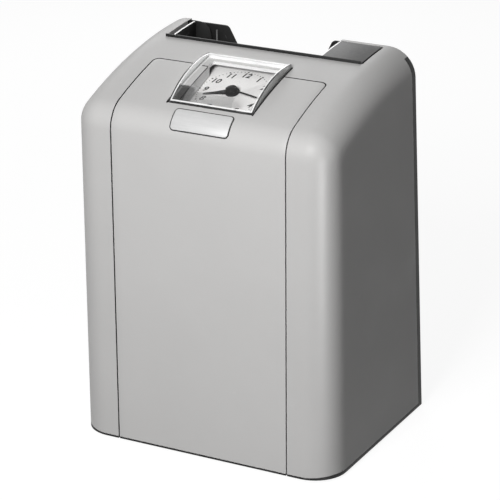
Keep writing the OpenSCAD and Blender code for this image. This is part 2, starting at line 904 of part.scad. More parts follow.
module movement_plate() {
    deep = 44;
    color([0.7, 0.7, 0.68]) raised() on_dial() translate([0, 0, -plate_low - plate_t]) difference() {
        union() {
            translate([frame_x0, -deep / 2, 0]) cube([frame_x1 - frame_x0, deep, plate_t]);
            for (x = [-26, 26], y = [-18, 18])
                translate([x, y, 0]) cylinder(r = 2.5, h = plate_low + plate_t - dial_t);
            translate([motion_r, 0, 0]) cylinder(r = 1, h = plate_low - 3);
        }
        translate([0, 0, -over]) cylinder(r = arbor_r + running, h = 5);
    }
}

module arbor_bracket() {
    deep = 18;
    inside = frame_x1 - frame_x0 - 2 * frame_t;
    color([0.7, 0.7, 0.68]) raised() on_dial() translate([0, 0, -bracket_low]) difference() {
        translate([frame_x0 + frame_t, -deep / 2, 0]) cube([inside, deep, plate_t]);
        translate([0, 0, -over]) cylinder(r = arbor_r + running, h = 5);
    }
}

// Hammer: a head behind the card, an arm down to its hub, and a forked tail
module hammer() {
    half = (print_x1 - print_x0) / 2 - 2;
    slot = [4.4, 7.4, 20];
    color([0.5, 0.5, 0.52]) raised() translate([hammer_x, 0, 0]) difference() {
        union() {
            along_x(-half, half) translate([head_y, shaft_z - 6]) square([hammer_t, 12]);
            along_x(-arm_w / 2, arm_w / 2) polygon([[head_y + hammer_t, shaft_z - 5],
                [head_y + hammer_t, shaft_z + 5], [head_y + 2 * hammer_t, shaft_z + 5],
                [hammer_y + hub_r, hammer_z + 2], [hammer_y - hub_r * 0.7, hammer_z + hub_r * 0.7]]);
            translate([0, hammer_y, hammer_z]) rod_x(-hub_w / 2, hub_w / 2, hub_r);
            along_x(-arm_w / 2, arm_w / 2) polygon([[hammer_y, hammer_z - hub_r], [hammer_y, hammer_z + 1],
                [tail_y - 4, hammer_z - 6.6], [tail_y - 4, hammer_z - 9]]);
        }
        translate([0, hammer_y, hammer_z]) rod_x(-far, far, hammer_bore + running);
        translate([-slot[0] / 2, tail_y - 5, hammer_z - slot[2]]) cube(slot);
    }
}

module hammer_pin() {
    color("silver") raised() translate([hammer_x, hammer_y, hammer_z])
        rod_x(-cheek_x - cheek_t, cheek_x + cheek_t, hammer_bore);
}

module hammer_bracket() {
    y0 = back_y + sheet;
    y1 = hammer_y + 5;
    foot_w = 8;
    color([0.6, 0.6, 0.6]) raised() translate([hammer_x, 0, 0]) difference() {
        for (side = [-1, 1])
            translate([side * cheek_x, 0, 0]) {
                along_x(-cheek_t / 2, cheek_t / 2) polygon([[y0, hammer_z - 12], [y1, hammer_z - 6],
                    [y1, hammer_z + 6], [y0, hammer_z + 14]]);
                translate([side > 0 ? -1 : 1 - foot_w, y0, hammer_z - 12]) cube([foot_w, sheet, 26]);
            }
        translate([0, hammer_y, hammer_z]) rod_x(-far, far, hammer_bore);
    }
}

module solenoid_coil() {
    color([0.6, 0.35, 0.15]) raised() translate([hammer_x, tail_y, coil_z]) difference() {
        cylinder(r = coil_r, h = coil_h);
        translate([0, 0, -over]) cylinder(r = core_r + core_gap, h = coil_h + 2 * over);
    }
}

// U-shaped yoke round the coil, open at one side
module solenoid_frame() {
    y0 = back_y + sheet;
    color([0.5, 0.5, 0.5]) raised() difference() {
        translate([hammer_x, 0, 0]) along_y(y0, tail_y + coil_r + 0.4) difference() {
            translate([-yoke_w / 2, coil_z - yoke_t]) square([yoke_w, coil_h + 2 * yoke_t]);
            translate([yoke_t - yoke_w / 2, coil_z]) square([yoke_w, coil_h]);
        }
        translate([hammer_x, tail_y, coil_z - 2 * yoke_t])
            cylinder(r = core_r + 0.1, h = coil_h + 4 * yoke_t);
    }
}

module plunger() {
    top = 10;
    color("silver") raised() translate([hammer_x, tail_y, hammer_z]) {
        translate([0, 0, -48]) cylinder(r = core_r, h = 48 - top);
        translate([0, 0, -top - over]) cylinder(r = stem_r, h = top + over);
        translate([0, 0, -0.4]) cylinder(r = stem_r + 1, h = 1.6);
    }
}

module trigger() {
    finger = 12.5;
    color([0.75, 0.75, 0.7]) raised() translate([trigger_x, trigger_y, trigger_z]) difference() {
        union() {
            rod_x(0, trigger_w, trigger_hub);
            along_x(trigger_w / 4, trigger_w * 3 / 4)
                polygon([[0, -1.5], [finger, 0], [finger, 3], [finger - 3.5, 3.4], [0, 2]]);
        }
        rod_x(-over, trigger_w + over, trigger_pin + running);
    }
}

module trigger_bracket() {
    left = trigger_x - 1 - sheet;
    right = trigger_x + trigger_w + 1;
    color([0.6, 0.6, 0.6]) raised() {
        for (x = [left, right])
            difference() {
                along_x(x, x + sheet) polygon([[trigger_y - 4, trigger_z - 4], [front_y, trigger_z - 10],
                    [front_y, trigger_z + 6], [trigger_y - 4, trigger_z + 4]]);
                translate([0, trigger_y, trigger_z]) rod_x(-far, far, trigger_pin - 0.05);
            }
        translate([0, trigger_y, trigger_z]) rod_x(left, right + sheet, trigger_pin);
    }
}

// Micro switch on its post, below the trigger
module switch() {
    post = trigger_z - floor_z - switch_drop;
    color([0.12, 0.12, 0.12]) raised() translate([trigger_x - 6, trigger_y - 14, floor_z]) {
        cube([switch_size[0], switch_size[1], 2]);
        translate([2, 2, 0]) cube([switch_size[0] - 4, switch_size[1] - 4, post]);
        translate([0, 0, post]) cube(switch_size);
    }
}

// Ribbon spool on a hollow hub, with the wound ribbon between its flanges
module spool(x) {
    color([0.12, 0.12, 0.13]) raised() translate([x, spool_y, shaft_z - ribbon_w / 2 - 1.5]) difference() {
        union() {
            cylinder(r = spool_r, h = rim_t);
            translate([0, 0, rim_t]) cylinder(r = pack_r, h = ribbon_w + 1);
            translate([0, 0, ribbon_w + rim_t + 1]) cylinder(r = spool_r, h = rim_t);
        }
        translate([0, 0, -over]) cylinder(r = post_r + running, h = ribbon_w + 10);
        for (i = [0:2])
            rotate(120 * i) translate([6, 0, -over]) cylinder(r = 1.5, h = ribbon_w + 10);
    }
}

module spool_left() {
    spool(card_x - spool_dx);
}

module spool_right() {
    spool(card_x + spool_dx);
}

// Shelf on the frame with the spool's post and the ribbon's guide post
module spool_bracket(side) {
    frame_x = side < 0 ? frame_x0 : frame_x1;
    x = card_x + side * spool_dx;
    post_x = card_x + side * post_dx;
    low = min(frame_x, x + side * boss_r);
    high = max(frame_x, x + side * boss_r);
    y = spool_y - boss_r;
    color([0.6, 0.6, 0.6]) raised() {
        translate([low, y, shelf_z - shelf_t]) cube([high - low, shelf_w, shelf_t]);
        translate([side < 0 ? frame_x - shelf_t : frame_x, y, shelf_z - 12]) cube([shelf_t, shelf_w, 12]);
        translate([x, spool_y, shelf_z]) cylinder(r = post_r, h = ribbon_w + 8);
        translate([x, spool_y, shelf_z]) cylinder(r = post_r * 2, h = 2);
        translate([post_x, ribbon_y - post_r - 0.3, shelf_z]) cylinder(r = post_r, h = ribbon_w + 6);
    }
}

module spool_bracket_left() {
    spool_bracket(-1);
}

module spool_bracket_right() {
    spool_bracket(1);
}

module ribbon() {
    start = spool_y + pack_r + 0.4;
    color([0.1, 0.1, 0.25]) raised() translate([card_x, 0, shaft_z - ribbon_w / 2]) linear_extrude(ribbon_w)
        polygon([[-spool_dx, start], [-post_dx, ribbon_y], [post_dx, ribbon_y], [spool_dx, start],
                 [spool_dx, start + ribbon_t], [post_dx, ribbon_y + ribbon_t],
                 [-post_dx, ribbon_y + ribbon_t], [-spool_dx, start + ribbon_t]]);
}

module lock_catch() {
    color([0.6, 0.6, 0.6]) raised() {
        translate([cam_x - 3, lock_y + catch_dy, lock_z + 4])
            cube([frame_x0 - cam_x + 3, catch_w, catch_t]);
        translate([frame_x0 - catch_t, lock_y + catch_dy, lock_z - 8])
            cube([catch_t, catch_w, 12 + catch_t]);
    }
}

module terminal_block() {
    color([0.15, 0.12, 0.1]) raised() translate([block_x, block_y, floor_z]) difference() {
        cube(block);
        for (i = [0:2])
            translate([block[0] * (2 * i + 1) / 6, block[1] / 2, block[2] / 2])
                cylinder(r = 3, h = block[2]);
    }
}

cover();
front_panel();
crystal();
nameplate();
lock_barrel();
lock_plug();
base_plate();
feet();
back_plate();
back_screws();
rear_plate();
receiver_left();
top_plate();
card_guide_front();
card_guide_rear();
card_stop();
frame_left();
frame_right();
tie_rods();
motor();
motor_pinion();
drive_shaft();
minute_wheel();
hour_wheel();
day_wheel();
minute_arbor();
minute_hand();
motion_wheel();
hour_pipe();
hour_hand();
dial_plate();
movement_plate();
arbor_bracket();
hammer();
hammer_pin();
hammer_bracket();
solenoid_coil();
solenoid_frame();
plunger();
trigger();
trigger_bracket();
switch();
spool_left();
spool_right();
spool_bracket_left();
spool_bracket_right();
ribbon();
lock_catch();
inlet_bush();
terminal_block();
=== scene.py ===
# Desk time clock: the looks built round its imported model, in metres
import json
from contextlib import contextmanager
from math import asin, cos, pi, radians, sin, sqrt, tan

import bmesh
import bpy
from mathutils import Matrix, Vector


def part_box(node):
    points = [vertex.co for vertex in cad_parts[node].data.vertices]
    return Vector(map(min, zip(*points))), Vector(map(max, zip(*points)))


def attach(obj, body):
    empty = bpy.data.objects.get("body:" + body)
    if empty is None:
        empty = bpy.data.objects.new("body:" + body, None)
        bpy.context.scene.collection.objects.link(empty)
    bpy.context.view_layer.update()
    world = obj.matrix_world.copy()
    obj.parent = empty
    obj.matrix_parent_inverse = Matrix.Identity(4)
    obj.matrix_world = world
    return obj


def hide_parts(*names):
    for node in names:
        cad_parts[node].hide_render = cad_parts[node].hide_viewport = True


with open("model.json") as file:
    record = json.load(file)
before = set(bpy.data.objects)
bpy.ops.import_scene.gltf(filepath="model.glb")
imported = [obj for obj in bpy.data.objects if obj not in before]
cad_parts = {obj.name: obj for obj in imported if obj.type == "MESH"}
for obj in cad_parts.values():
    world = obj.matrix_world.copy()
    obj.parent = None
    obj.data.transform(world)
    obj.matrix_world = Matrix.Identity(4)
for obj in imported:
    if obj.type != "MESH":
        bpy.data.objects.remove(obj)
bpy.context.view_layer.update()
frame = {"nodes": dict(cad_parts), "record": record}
nodes = frame["nodes"]
mm = 0.001
print("frame loaded:", len(nodes), "nodes")

bodyOf = {}
for body, members in frame["record"]["behaviour"]["bodies"].items():
    for member in members:
        bodyOf[member] = body

# Shapes shared by the pieces, in millimetres and degrees, above the foot of the case
case = {
    "foot": 2.0, "half": 100.0, "lean": 0.43, "front": -74.6, "cornerFoot": 23.5, "edge": 20.0, "top": 272.0,
    "crownY": 65.5, "crownR": 341.0, "rearLean": 3.6, "wall": 3.0, "rearRim": 9.0, "rearTop": 261.5,
    "rearCorner": 14.0, "rearLow": -40.0, "lip": 18.9, "notchHalf": 76.5, "notchFloor": 222.0,
    "notchRear": 54.6, "notchCorner": 2.0, "gapLeft": -76.5, "gapRight": 43.0, "gapRear": 90.0,
    "lockY": -20.0, "lockZ": 150.0, "lockR": 8.1, "lockSides": 32, "lockDeep": 8.0,
    "above": 300.0,  # a height over everything, where the cutting tools end
}
case["crownZ"] = case["top"] - case["crownR"]
case["edgeY"] = case["front"] + case["edge"]
case["innerR"] = case["crownR"] - case["edge"]
case["edgeTurn"] = asin((case["crownY"] - case["edgeY"]) / case["innerR"])
case["edgeZ"] = case["crownZ"] + case["innerR"] * cos(case["edgeTurn"])
case["rear"] = -case["front"]
rearWay = Vector((0, cos(radians(case["rearLean"])), sin(radians(case["rearLean"]))))
rearFoot = Vector((0, case["rear"], case["foot"])) * mm


def halfAt(z):
    return case["half"] - z * tan(radians(case["lean"]))


def topAt(y, inset=0.0):
    # Height of the side view at a place from front to back, on the front edge or the crown
    c = case
    if y < c["crownY"] - (c["crownR"] - inset) * sin(c["edgeTurn"]):
        return c["edgeZ"] + sqrt(max(0.0, (c["edge"] - inset) ** 2 - (y - c["edgeY"]) ** 2))
    return c["crownZ"] + sqrt((c["crownR"] - inset) ** 2 - (y - c["crownY"]) ** 2)


def spaced(start, end, steps):
    return [start + (end - start) * k / steps for k in range(steps + 1)]


# Mesh work

def newPiece(name, data):
    piece = bpy.data.objects.new(name, data)
    bpy.context.scene.collection.objects.link(piece)
    return piece


@contextmanager
def reworked(piece):
    # The piece's mesh opened for bmesh, and written back at the end
    bm = bmesh.new()
    bm.from_mesh(piece.data)
    yield bm
    bm.to_mesh(piece.data)
    bm.free()


def sliced(bm, at, way, dist=1e-7, **more):
    everything = bm.verts[:] + bm.edges[:] + bm.faces[:]
    return bmesh.ops.bisect_plane(bm, geom=everything, dist=dist, plane_co=at, plane_no=way, **more)


def makeMesh(name, points, faces, raised=True):
    # Points are in millimetres; the object stays at the origin
    lift = case["foot"] if raised else 0.0
    mesh = bpy.data.meshes.new(name)
    mesh.from_pydata([(x * mm, y * mm, (z + lift) * mm) for x, y, z in points], [], faces)
    mesh.update()
    return newPiece(name, mesh)


def outward(piece):
    with reworked(piece) as bm:
        bmesh.ops.remove_doubles(bm, verts=bm.verts, dist=2e-6)
        bmesh.ops.recalc_face_normals(bm, faces=bm.faces)
    return piece


def smooth(piece, degrees=30):
    piece.data.shade_smooth()
    piece.data.set_sharp_from_angle(angle=radians(degrees))


def applied(piece):
    # The evaluated mesh takes the place of the mesh and its modifiers
    graph = bpy.context.evaluated_depsgraph_get()
    mesh = bpy.data.meshes.new_from_object(piece.evaluated_get(graph), depsgraph=graph)
    old = piece.data
    piece.modifiers.clear()
    piece.data = mesh
    mesh.name = piece.name
    bpy.data.meshes.remove(old)
    return piece


def giveMaterial(piece, label):
    piece.data.materials.clear()
    piece.data.materials.append(finish[label])


def repaint(piece, label, test):
    # Faces that pass the test take a finish of their own
    piece.data.materials.append(finish[label])
    for face in piece.data.polygons:
        if test(face.center / mm, face.normal, face.material_index):
            face.material_index = len(piece.data.materials) - 1


def cutBy(piece, tool, label=None):
    # With a label, the faces that the tool leaves take that finish
    if label:
        giveMaterial(tool, label)
    cut = piece.modifiers.new("cut", "BOOLEAN")
    cut.operation = "DIFFERENCE"
    cut.solver = "EXACT"
    cut.material_mode = "TRANSFER" if label else "INDEX"
    cut.object = tool
    applied(piece)
    bpy.data.objects.remove(tool)


def scored(piece, cuts):
    # Splits the faces along planes, so that a strip can take its own finish
    with reworked(piece) as bm:
        for axis, value in cuts:
            way = Vector([float(letter == axis) for letter in "xyz"])
            sliced(bm, way * (value * mm), way)


def bevelled(piece, width, degrees=35):
    bevel = piece.modifiers.new("edges", "BEVEL")
    bevel.width = width * mm
    bevel.segments = 2
    bevel.limit_method = "ANGLE"
    bevel.angle_limit = radians(degrees)
    bevel.use_clamp_overlap = True
    return applied(piece)


def moved(piece, matrix):
    # Places a finished mesh; the matrix is in metres
    piece.data.transform(matrix)
    piece.data.update()
    return piece


def fitted(piece, label, body, degrees=30):
    # The last steps of a piece: soft shading, finish and the body it rides on
    if degrees:
        smooth(piece, degrees)
    if label:
        giveMaterial(piece, label)
    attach(piece, body)


def dressed(node, name, bevel, label, slot):
    # A cleaned copy of a CAD node, with softened edges, that stands for it
    piece = newPiece(name, nodes[node].data.copy())
    piece.data.materials.clear()
    with reworked(piece) as bm:
        bmesh.ops.remove_doubles(bm, verts=bm.verts, dist=2e-6)
        bmesh.ops.dissolve_limit(bm, angle_limit=radians(0.4), verts=bm.verts, edges=bm.edges,
                                 delimit={"NORMAL"})
    bevelled(piece, bevel)
    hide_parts(node)
    fitted(piece, label, bodyOf[node], 32)
    return piece


def roundRect(x0, x1, y0, y1, r, steps=6):
    points = []
    corners = ((x1 - r, y0 + r, -90), (x1 - r, y1 - r, 0), (x0 + r, y1 - r, 90), (x0 + r, y0 + r, 180))
    for cx, cy, start in corners:
        for i in range(steps + 1):
            a = radians(start + 90 * i / steps)
            points.append((cx + r * cos(a), cy + r * sin(a)))
    return points


def alongX(p, h):
    return (h, p[0], p[1])


def alongY(p, h):
    return (p[0], h, p[1])


def alongZ(p, h):
    return (p[0], p[1], h)


def alongRear(p, h):
    # Outline in X and up the leaning rear face; h is the distance out of it
    return (p[0], case["rear"] + h * rearWay.y - p[1] * rearWay.z, h * rearWay.z + p[1] * rearWay.y)


def prism(name, outline, low, high, place=alongZ):
    # An outline drawn out between two heights; place turns it to its axis
    n = len(outline)
    points = [place(p, low) for p in outline] + [place(p, high) for p in outline]
    faces = [tuple(range(n - 1, -1, -1)), tuple(range(n, 2 * n))]
    faces += [(i, (i + 1) % n, n + (i + 1) % n, n + i) for i in range(n)]
    return outward(makeMesh(name, points, faces))


def spun(name, profile):
    # A profile of (radius, height) turned round Z into a closed body
    steps = 40
    turns = spaced(0.0, 2 * pi, steps)[:-1]
    points = [(r * cos(a), r * sin(a), h) for r, h in profile for a in turns]
    last = (len(profile) - 1) * steps
    faces = [tuple(range(steps - 1, -1, -1)), tuple(range(last, last + steps))]
    for row in range(0, last, steps):
        for i in range(steps):
            j = (i + 1) % steps
            faces.append((row + i, row + j, row + steps + j, row + steps + i))
    return outward(makeMesh(name, points, faces, raised=False))


# Node trees

socketKinds = {float: "Float", int: "Int", tuple: "Vector"}
origin = (0.0, 0.0, 0.0)


def setInputs(tree, made, values):
    # A value is a plain one, or another node's socket to link
    for key, value in values.items():
        if isinstance(value, bpy.types.NodeSocket):
            tree.links.new(value, made.inputs[key])
        else:
            made.inputs[key].default_value = value


def addNode(tree, kind, values=None, **settings):
    # A new node with its settings and inputs; what comes back is its outputs
    made = tree.nodes.new(kind)
    for key, value in settings.items():
        setattr(made, key, value)
    setInputs(tree, made, values or {})
    return made.outputs


def newGroup(name, inputs, outputs, treeKind="Shader"):
    # Inputs are given by their value, or by their kind where they have none
    tree = bpy.data.node_groups.new(name, treeKind + "NodeTree")
    for label, value in inputs.items():
        kind = value if isinstance(value, str) else socketKinds[type(value)]
        socket = tree.interface.new_socket(label, in_out="INPUT", socket_type="NodeSocket" + kind)
        if kind is not value:
            socket.default_value = value
    outKind = "Float" if treeKind == "Shader" else "Geometry"
    for label in outputs:
        tree.interface.new_socket(label, in_out="OUTPUT", socket_type="NodeSocket" + outKind)
    return tree, tree.nodes.new("NodeGroupInput").outputs, tree.nodes.new("NodeGroupOutput")


def mathNode(tree, operation, a, b, clamp=False):
    return addNode(tree, "ShaderNodeMath", {0: a, 1: b}, operation=operation, use_clamp=clamp)[0]


def plus(tree, a, b, clamp=False):
    return mathNode(tree, "ADD", a, b, clamp)


def minus(tree, a, b):
    return mathNode(tree, "SUBTRACT", a, b)


def times(tree, a, b, clamp=False):
    return mathNode(tree, "MULTIPLY", a, b, clamp)


def rangeNode(tree, value, low, high, toLow=0.0, toHigh=1.0):
    limits = {"Value": value, "From Min": low, "From Max": high, "To Min": toLow, "To Max": toHigh}
    return addNode(tree, "ShaderNodeMapRange", limits)["Result"]


def noise(tree, place, scale, detail, roughness=0.5):
    values = {"Vector": place, "Scale": scale, "Detail": detail, "Roughness": roughness}
    return addNode(tree, "ShaderNodeTexNoise", values)["Fac"]


def axes(tree, vector):
    return addNode(tree, "ShaderNodeSeparateXYZ", {"Vector": vector})


def paintSkinGroup():
    # Orange peel of sprayed enamel: its height, and a slow mottling of its shade
    tree, ins, outs = newGroup("sprayedSkin", {"Vector": origin, "Peel Scale": 900.0, "Mottle": 0.06},
                               ("Height", "Shade"))
    peel = noise(tree, ins["Vector"], ins["Peel Scale"], 2.0)
    grit = noise(tree, ins["Vector"], 3200.0, 1.0)
    slow = noise(tree, ins["Vector"], 14.0, 5.0, 0.6)
    both = plus(tree, minus(tree, slow, 0.5), times(tree, minus(tree, grit, 0.5), 0.5))
    setInputs(tree, outs, {"Height": plus(tree, peel, times(tree, grit, 0.35)),
                           "Shade": plus(tree, times(tree, both, ins["Mottle"]), 1.0)})
    return tree


def handlingGroup():
    # Scratches, rubbed patches and settled dust as masks from 0 to 1
    tree, ins, outs = newGroup("handlingMarks", {"Vector": origin, "Scratches": 0.3, "Rub": 0.3, "Dust": 0.2},
                               ("Scratch Mask", "Rub Mask", "Dust Mask"))
    place = ins["Vector"]
    bend = addNode(tree, "ShaderNodeTexNoise", {"Vector": place, "Scale": 30.0, "Detail": 2.0})
    warp = {"Factor": 0.04, "A": place, "B": bend["Color"]}
    bent = addNode(tree, "ShaderNodeMix", warp, data_type="VECTOR")
    crack = addNode(tree, "ShaderNodeTexVoronoi", {"Vector": bent["Result"], "Scale": 70.0},
                    feature="DISTANCE_TO_EDGE")
    thin = rangeNode(tree, crack["Distance"], 0.0, 0.012, 1.0, 0.0)
    seldom = rangeNode(tree, noise(tree, place, 110.0, 3.0), 0.60, 0.68)
    rubbed = rangeNode(tree, noise(tree, place, 22.0, 6.0, 0.62), 0.5, 0.72)
    normal = addNode(tree, "ShaderNodeNewGeometry")["Normal"]
    upward = rangeNode(tree, axes(tree, normal)["Z"], 0.2, 0.95)
    lint = rangeNode(tree, noise(tree, place, 420.0, 4.0, 0.7), 0.42, 0.75)
    setInputs(tree, outs, {"Scratch Mask": times(tree, times(tree, thin, seldom), ins["Scratches"]),
                           "Rub Mask": times(tree, rubbed, ins["Rub"]),
                           "Dust Mask": times(tree, times(tree, upward, lint), ins["Dust"])})
    return tree


def brushGroup():
    # Fine parallel lines of rolled or brushed metal, along one axis
    shape = {"Vector": origin, "Stretch": (1.0, 1.0, 1.0), "Fineness": 260.0}
    tree, ins, outs = newGroup("brushedLines", shape, ("Height", "Tone"))
    pulled = addNode(tree, "ShaderNodeVectorMath", {0: ins["Vector"], 1: ins["Stretch"]},
                     operation="MULTIPLY")
    lines = noise(tree, pulled["Vector"], ins["Fineness"], 4.0, 0.65)
    cloud = noise(tree, ins["Vector"], 45.0, 4.0)
    tone = plus(tree, times(tree, lines, 0.5), times(tree, cloud, 0.5))
    setInputs(tree, outs, {"Height": lines, "Tone": tone})
    return tree


def edgeWearGroup():
    # Enamel rubbed through in broken patches, where the nearness of an edge is given
    tree, ins, outs = newGroup("edgeWear", {"Vector": origin, "Nearness": 0.0, "Amount": 0.5, "Grain": 420.0},
                               ("Mask",))
    grain = noise(tree, ins["Vector"], ins["Grain"], 4.0, 0.6)
    both = minus(tree, plus(tree, times(tree, ins["Nearness"], ins["Amount"]), grain), 1.0)
    setInputs(tree, outs, {"Mask": times(tree, both, 7.0, clamp=True)})
    return tree


def zoneGroup():
    # 1 inside a soft-edged rectangle in X and Y, 0 outside it
    box = {"Left": -0.01, "Right": 0.01, "Front": -0.01, "Rear": 0.01, "Softness": 0.001, "Slant": 0.0}
    tree, ins, outs = newGroup("softZone", {"Vector": origin, **box}, ("Mask",))
    parts = axes(tree, ins["Vector"])
    deep = parts["Y"]
    lean = times(tree, minus(tree, deep, ins["Front"]), ins["Slant"])
    across = plus(tree, parts["X"], lean)
    mask = None
    for a, b in ((across, ins["Left"]), (ins["Right"], across), (deep, ins["Front"]), (ins["Rear"], deep)):
        inside = mathNode(tree, "DIVIDE", minus(tree, a, b), ins["Softness"])
        side = plus(tree, inside, 0.5, clamp=True)
        mask = times(tree, mask, side) if mask else side
    setInputs(tree, outs, {"Mask": mask})
    return tree


paintSkin = paintSkinGroup()
handling = handlingGroup()
brushed = brushGroup()
edgeWear = edgeWearGroup()
softZone = zoneGroup()
print("shader groups ready")


# Materials

def useGroup(tree, group, values):
    return addNode(tree, "ShaderNodeGroup", values, node_tree=group)


def mixColour(tree, factor, a, b, blend="MIX"):
    mixed = addNode(tree, "ShaderNodeMix", {0: factor, 6: a, 7: b}, data_type="RGBA", blend_type=blend)
    return mixed[2]


def grey(value, warm=0.0):
    return (value * (1 + warm), value, value * (1 - warm), 1.0)


def startMaterial(name):
    material = bpy.data.materials.new(name)
    material.use_nodes = True
    tree = material.node_tree
    tree.nodes.clear()
    shader = tree.nodes.new("ShaderNodeBsdfPrincipled")
    addNode(tree, "ShaderNodeOutputMaterial", {"Surface": shader.outputs["BSDF"]})
    return material, tree, shader


def objectPlace(tree):
    return tree.nodes.new("ShaderNodeTexCoord").outputs["Object"]


def bumped(tree, height, depth):
    # Depth in millimetres
    values = {"Strength": 1.0, "Distance": depth * mm, "Height": height}
    return addNode(tree, "ShaderNodeBump", values)["Normal"]


def sprayedEnamel(name, look):
    # Painted, moulded or rubber surfaces: sprayed skin, marks and dust
    material, tree, shader = startMaterial(name)
    place = objectPlace(tree)
    skin = useGroup(tree, paintSkin, {"Vector": place, "Peel Scale": look["peel"], "Mottle": look["mottle"]})
    marks = useGroup(tree, handling, {"Vector": place, "Scratches": look["scratches"], "Rub": look["rub"],
                                      "Dust": look["dust"]})
    shade = addNode(tree, "ShaderNodeCombineColor", dict.fromkeys(("Red", "Green", "Blue"), skin["Shade"]))
    colour = mixColour(tree, 1.0, look["colour"], shade["Color"], "MULTIPLY")
    colour = mixColour(tree, marks["Scratch Mask"], colour, look["scratchColour"])
    colour = mixColour(tree, marks["Dust Mask"], colour, look["dustColour"])
    if look["worn"]:
        # Wear that fades upwards from the foot's edge
        edge, inner, amount = look["worn"]
        near = rangeNode(tree, axes(tree, place)["Z"], edge * mm, inner * mm, 1.0, 0.0)
        wear = useGroup(tree, edgeWear, {"Vector": place, "Nearness": near, "Amount": amount})
        colour = mixColour(tree, wear["Mask"], colour, look["wornColour"])
    rough = plus(tree, times(tree, marks["Rub Mask"], -look["polish"]), look["rough"])
    rough = plus(tree, rough, times(tree, marks["Dust Mask"], 0.4), clamp=True)
    height = minus(tree, skin["Height"], times(tree, marks["Scratch Mask"], 0.2))
    setInputs(tree, shader, {
        "Base Color": colour, "Roughness": rough, "Specular IOR Level": look["gloss"],
        "Coat Weight": look["coat"], "Coat Roughness": look["coatRough"],
        "Normal": bumped(tree, height, look["depth"])})
    return material


def bareMetal(name, look):
    # Rolled, turned or plated metal: brushed lines, tarnish and dust
    material, tree, shader = startMaterial(name)
    place = objectPlace(tree)
    lines = useGroup(tree, brushed, {"Vector": place, "Stretch": look["stretch"],
                                     "Fineness": look["fineness"]})
    marks = useGroup(tree, handling, {"Vector": place, "Rub": 1.0, "Dust": look["dust"]})
    colour = mixColour(tree, rangeNode(tree, lines["Tone"], 0.3, 0.7), look["dark"], look["colour"])
    colour = mixColour(tree, times(tree, marks["Rub Mask"], look["tarnish"]), colour, look["tarnishColour"])
    colour = mixColour(tree, marks["Dust Mask"], colour, grey(0.35))
    rough = rangeNode(tree, lines["Tone"], 0.3, 0.7, look["rough"] - 0.06, look["rough"] + 0.1)
    rough = plus(tree, rough, times(tree, marks["Rub Mask"], look["tarnish"] * 0.25), clamp=True)
    setInputs(tree, shader, {"Base Color": colour, "Roughness": rough, "Metallic": look["metallic"],
                             "Normal": bumped(tree, lines["Height"], look["depth"])})
    return material


enamelBase = {
    "peel": 900.0, "mottle": 0.10, "scratches": 0.25, "rub": 0.6, "dust": 0.12, "rough": 0.44, "polish": 0.10,
    "depth": 0.05, "coat": 0.0, "coatRough": 0.22, "gloss": 0.2, "scratchColour": grey(0.62),
    "dustColour": grey(0.62), "wornColour": grey(0.22),
    "worn": None,  # from and to, in mm up the case, and how much
}
metalBase = {
    "stretch": (0.06, 1.0, 1.0), "fineness": 900.0, "dust": 0.1, "rough": 0.34, "tarnish": 0.35,
    "tarnishColour": grey(0.3), "metallic": 1.0, "depth": 0.02,
}


def recoloured(base, names, shades, changes):
    # A base look with its own colours, each a plain grey or a full colour, and what else differs
    colours = [shade if isinstance(shade, tuple) else grey(shade) for shade in shades]
    return {**base, **dict(zip(names, colours)), **changes}


def enamel(*shades, **changes):
    return recoloured(enamelBase, ("colour", "scratchColour", "dustColour"), shades, changes)


def metal(*shades, **changes):
    return recoloured(metalBase, ("colour", "dark", "tarnishColour"), shades, changes)


paints = {
    "caseEnamel": enamel(grey(0.50, 0.01), worn=(3.5, 9.0, 0.42)),
    "panelEnamel": enamel(grey(0.515, 0.01), mottle=0.08, worn=(3.5, 8.0, 0.40)),
    "baseEnamel": enamel(0.045, 0.25, 0.3, rough=0.5, coat=0.1, gloss=0.5),
    "crinkleBlackAndShade": enamel(0.006, 0.4, 0.3, peel=1500.0, mottle=0.9, depth=0.22, rough=0.55, dust=0.35),
    "receiverGrey": enamel(0.075, 0.35, 0.35, peel=1300.0, mottle=0.4, depth=0.08, rough=0.5, coat=0.1),
    "footRubber": enamel(0.02, 0.08, 0.2, peel=2600.0, depth=0.04, rough=0.75, dust=0.4),
    "mouldedBlack": enamel(0.022, 0.12, 0.25, peel=2000.0, depth=0.03, rough=0.42),
    "motorGrey": enamel(0.14, 0.4, rough=0.45),
    "paintedInsideShade": enamel(0.03, 0.12, 0.12, rough=0.6),
    "blackEdgingAndShade": enamel(0.008, 0.05, 0.08, peel=2400.0, depth=0.02, rough=0.5, dust=0.05),
    "wellWhite": enamel(0.72, 0.5, mottle=0.08, rough=0.5, dust=0.0),
    "handBlack": enamel(0.004, 0.03, peel=2400.0, depth=0.02, rough=0.5, dust=0.0, gloss=0.06),
    "numeralInk": enamel(0.012, 0.1, peel=2400.0, depth=0.01, rough=0.6, dust=0.0),
}
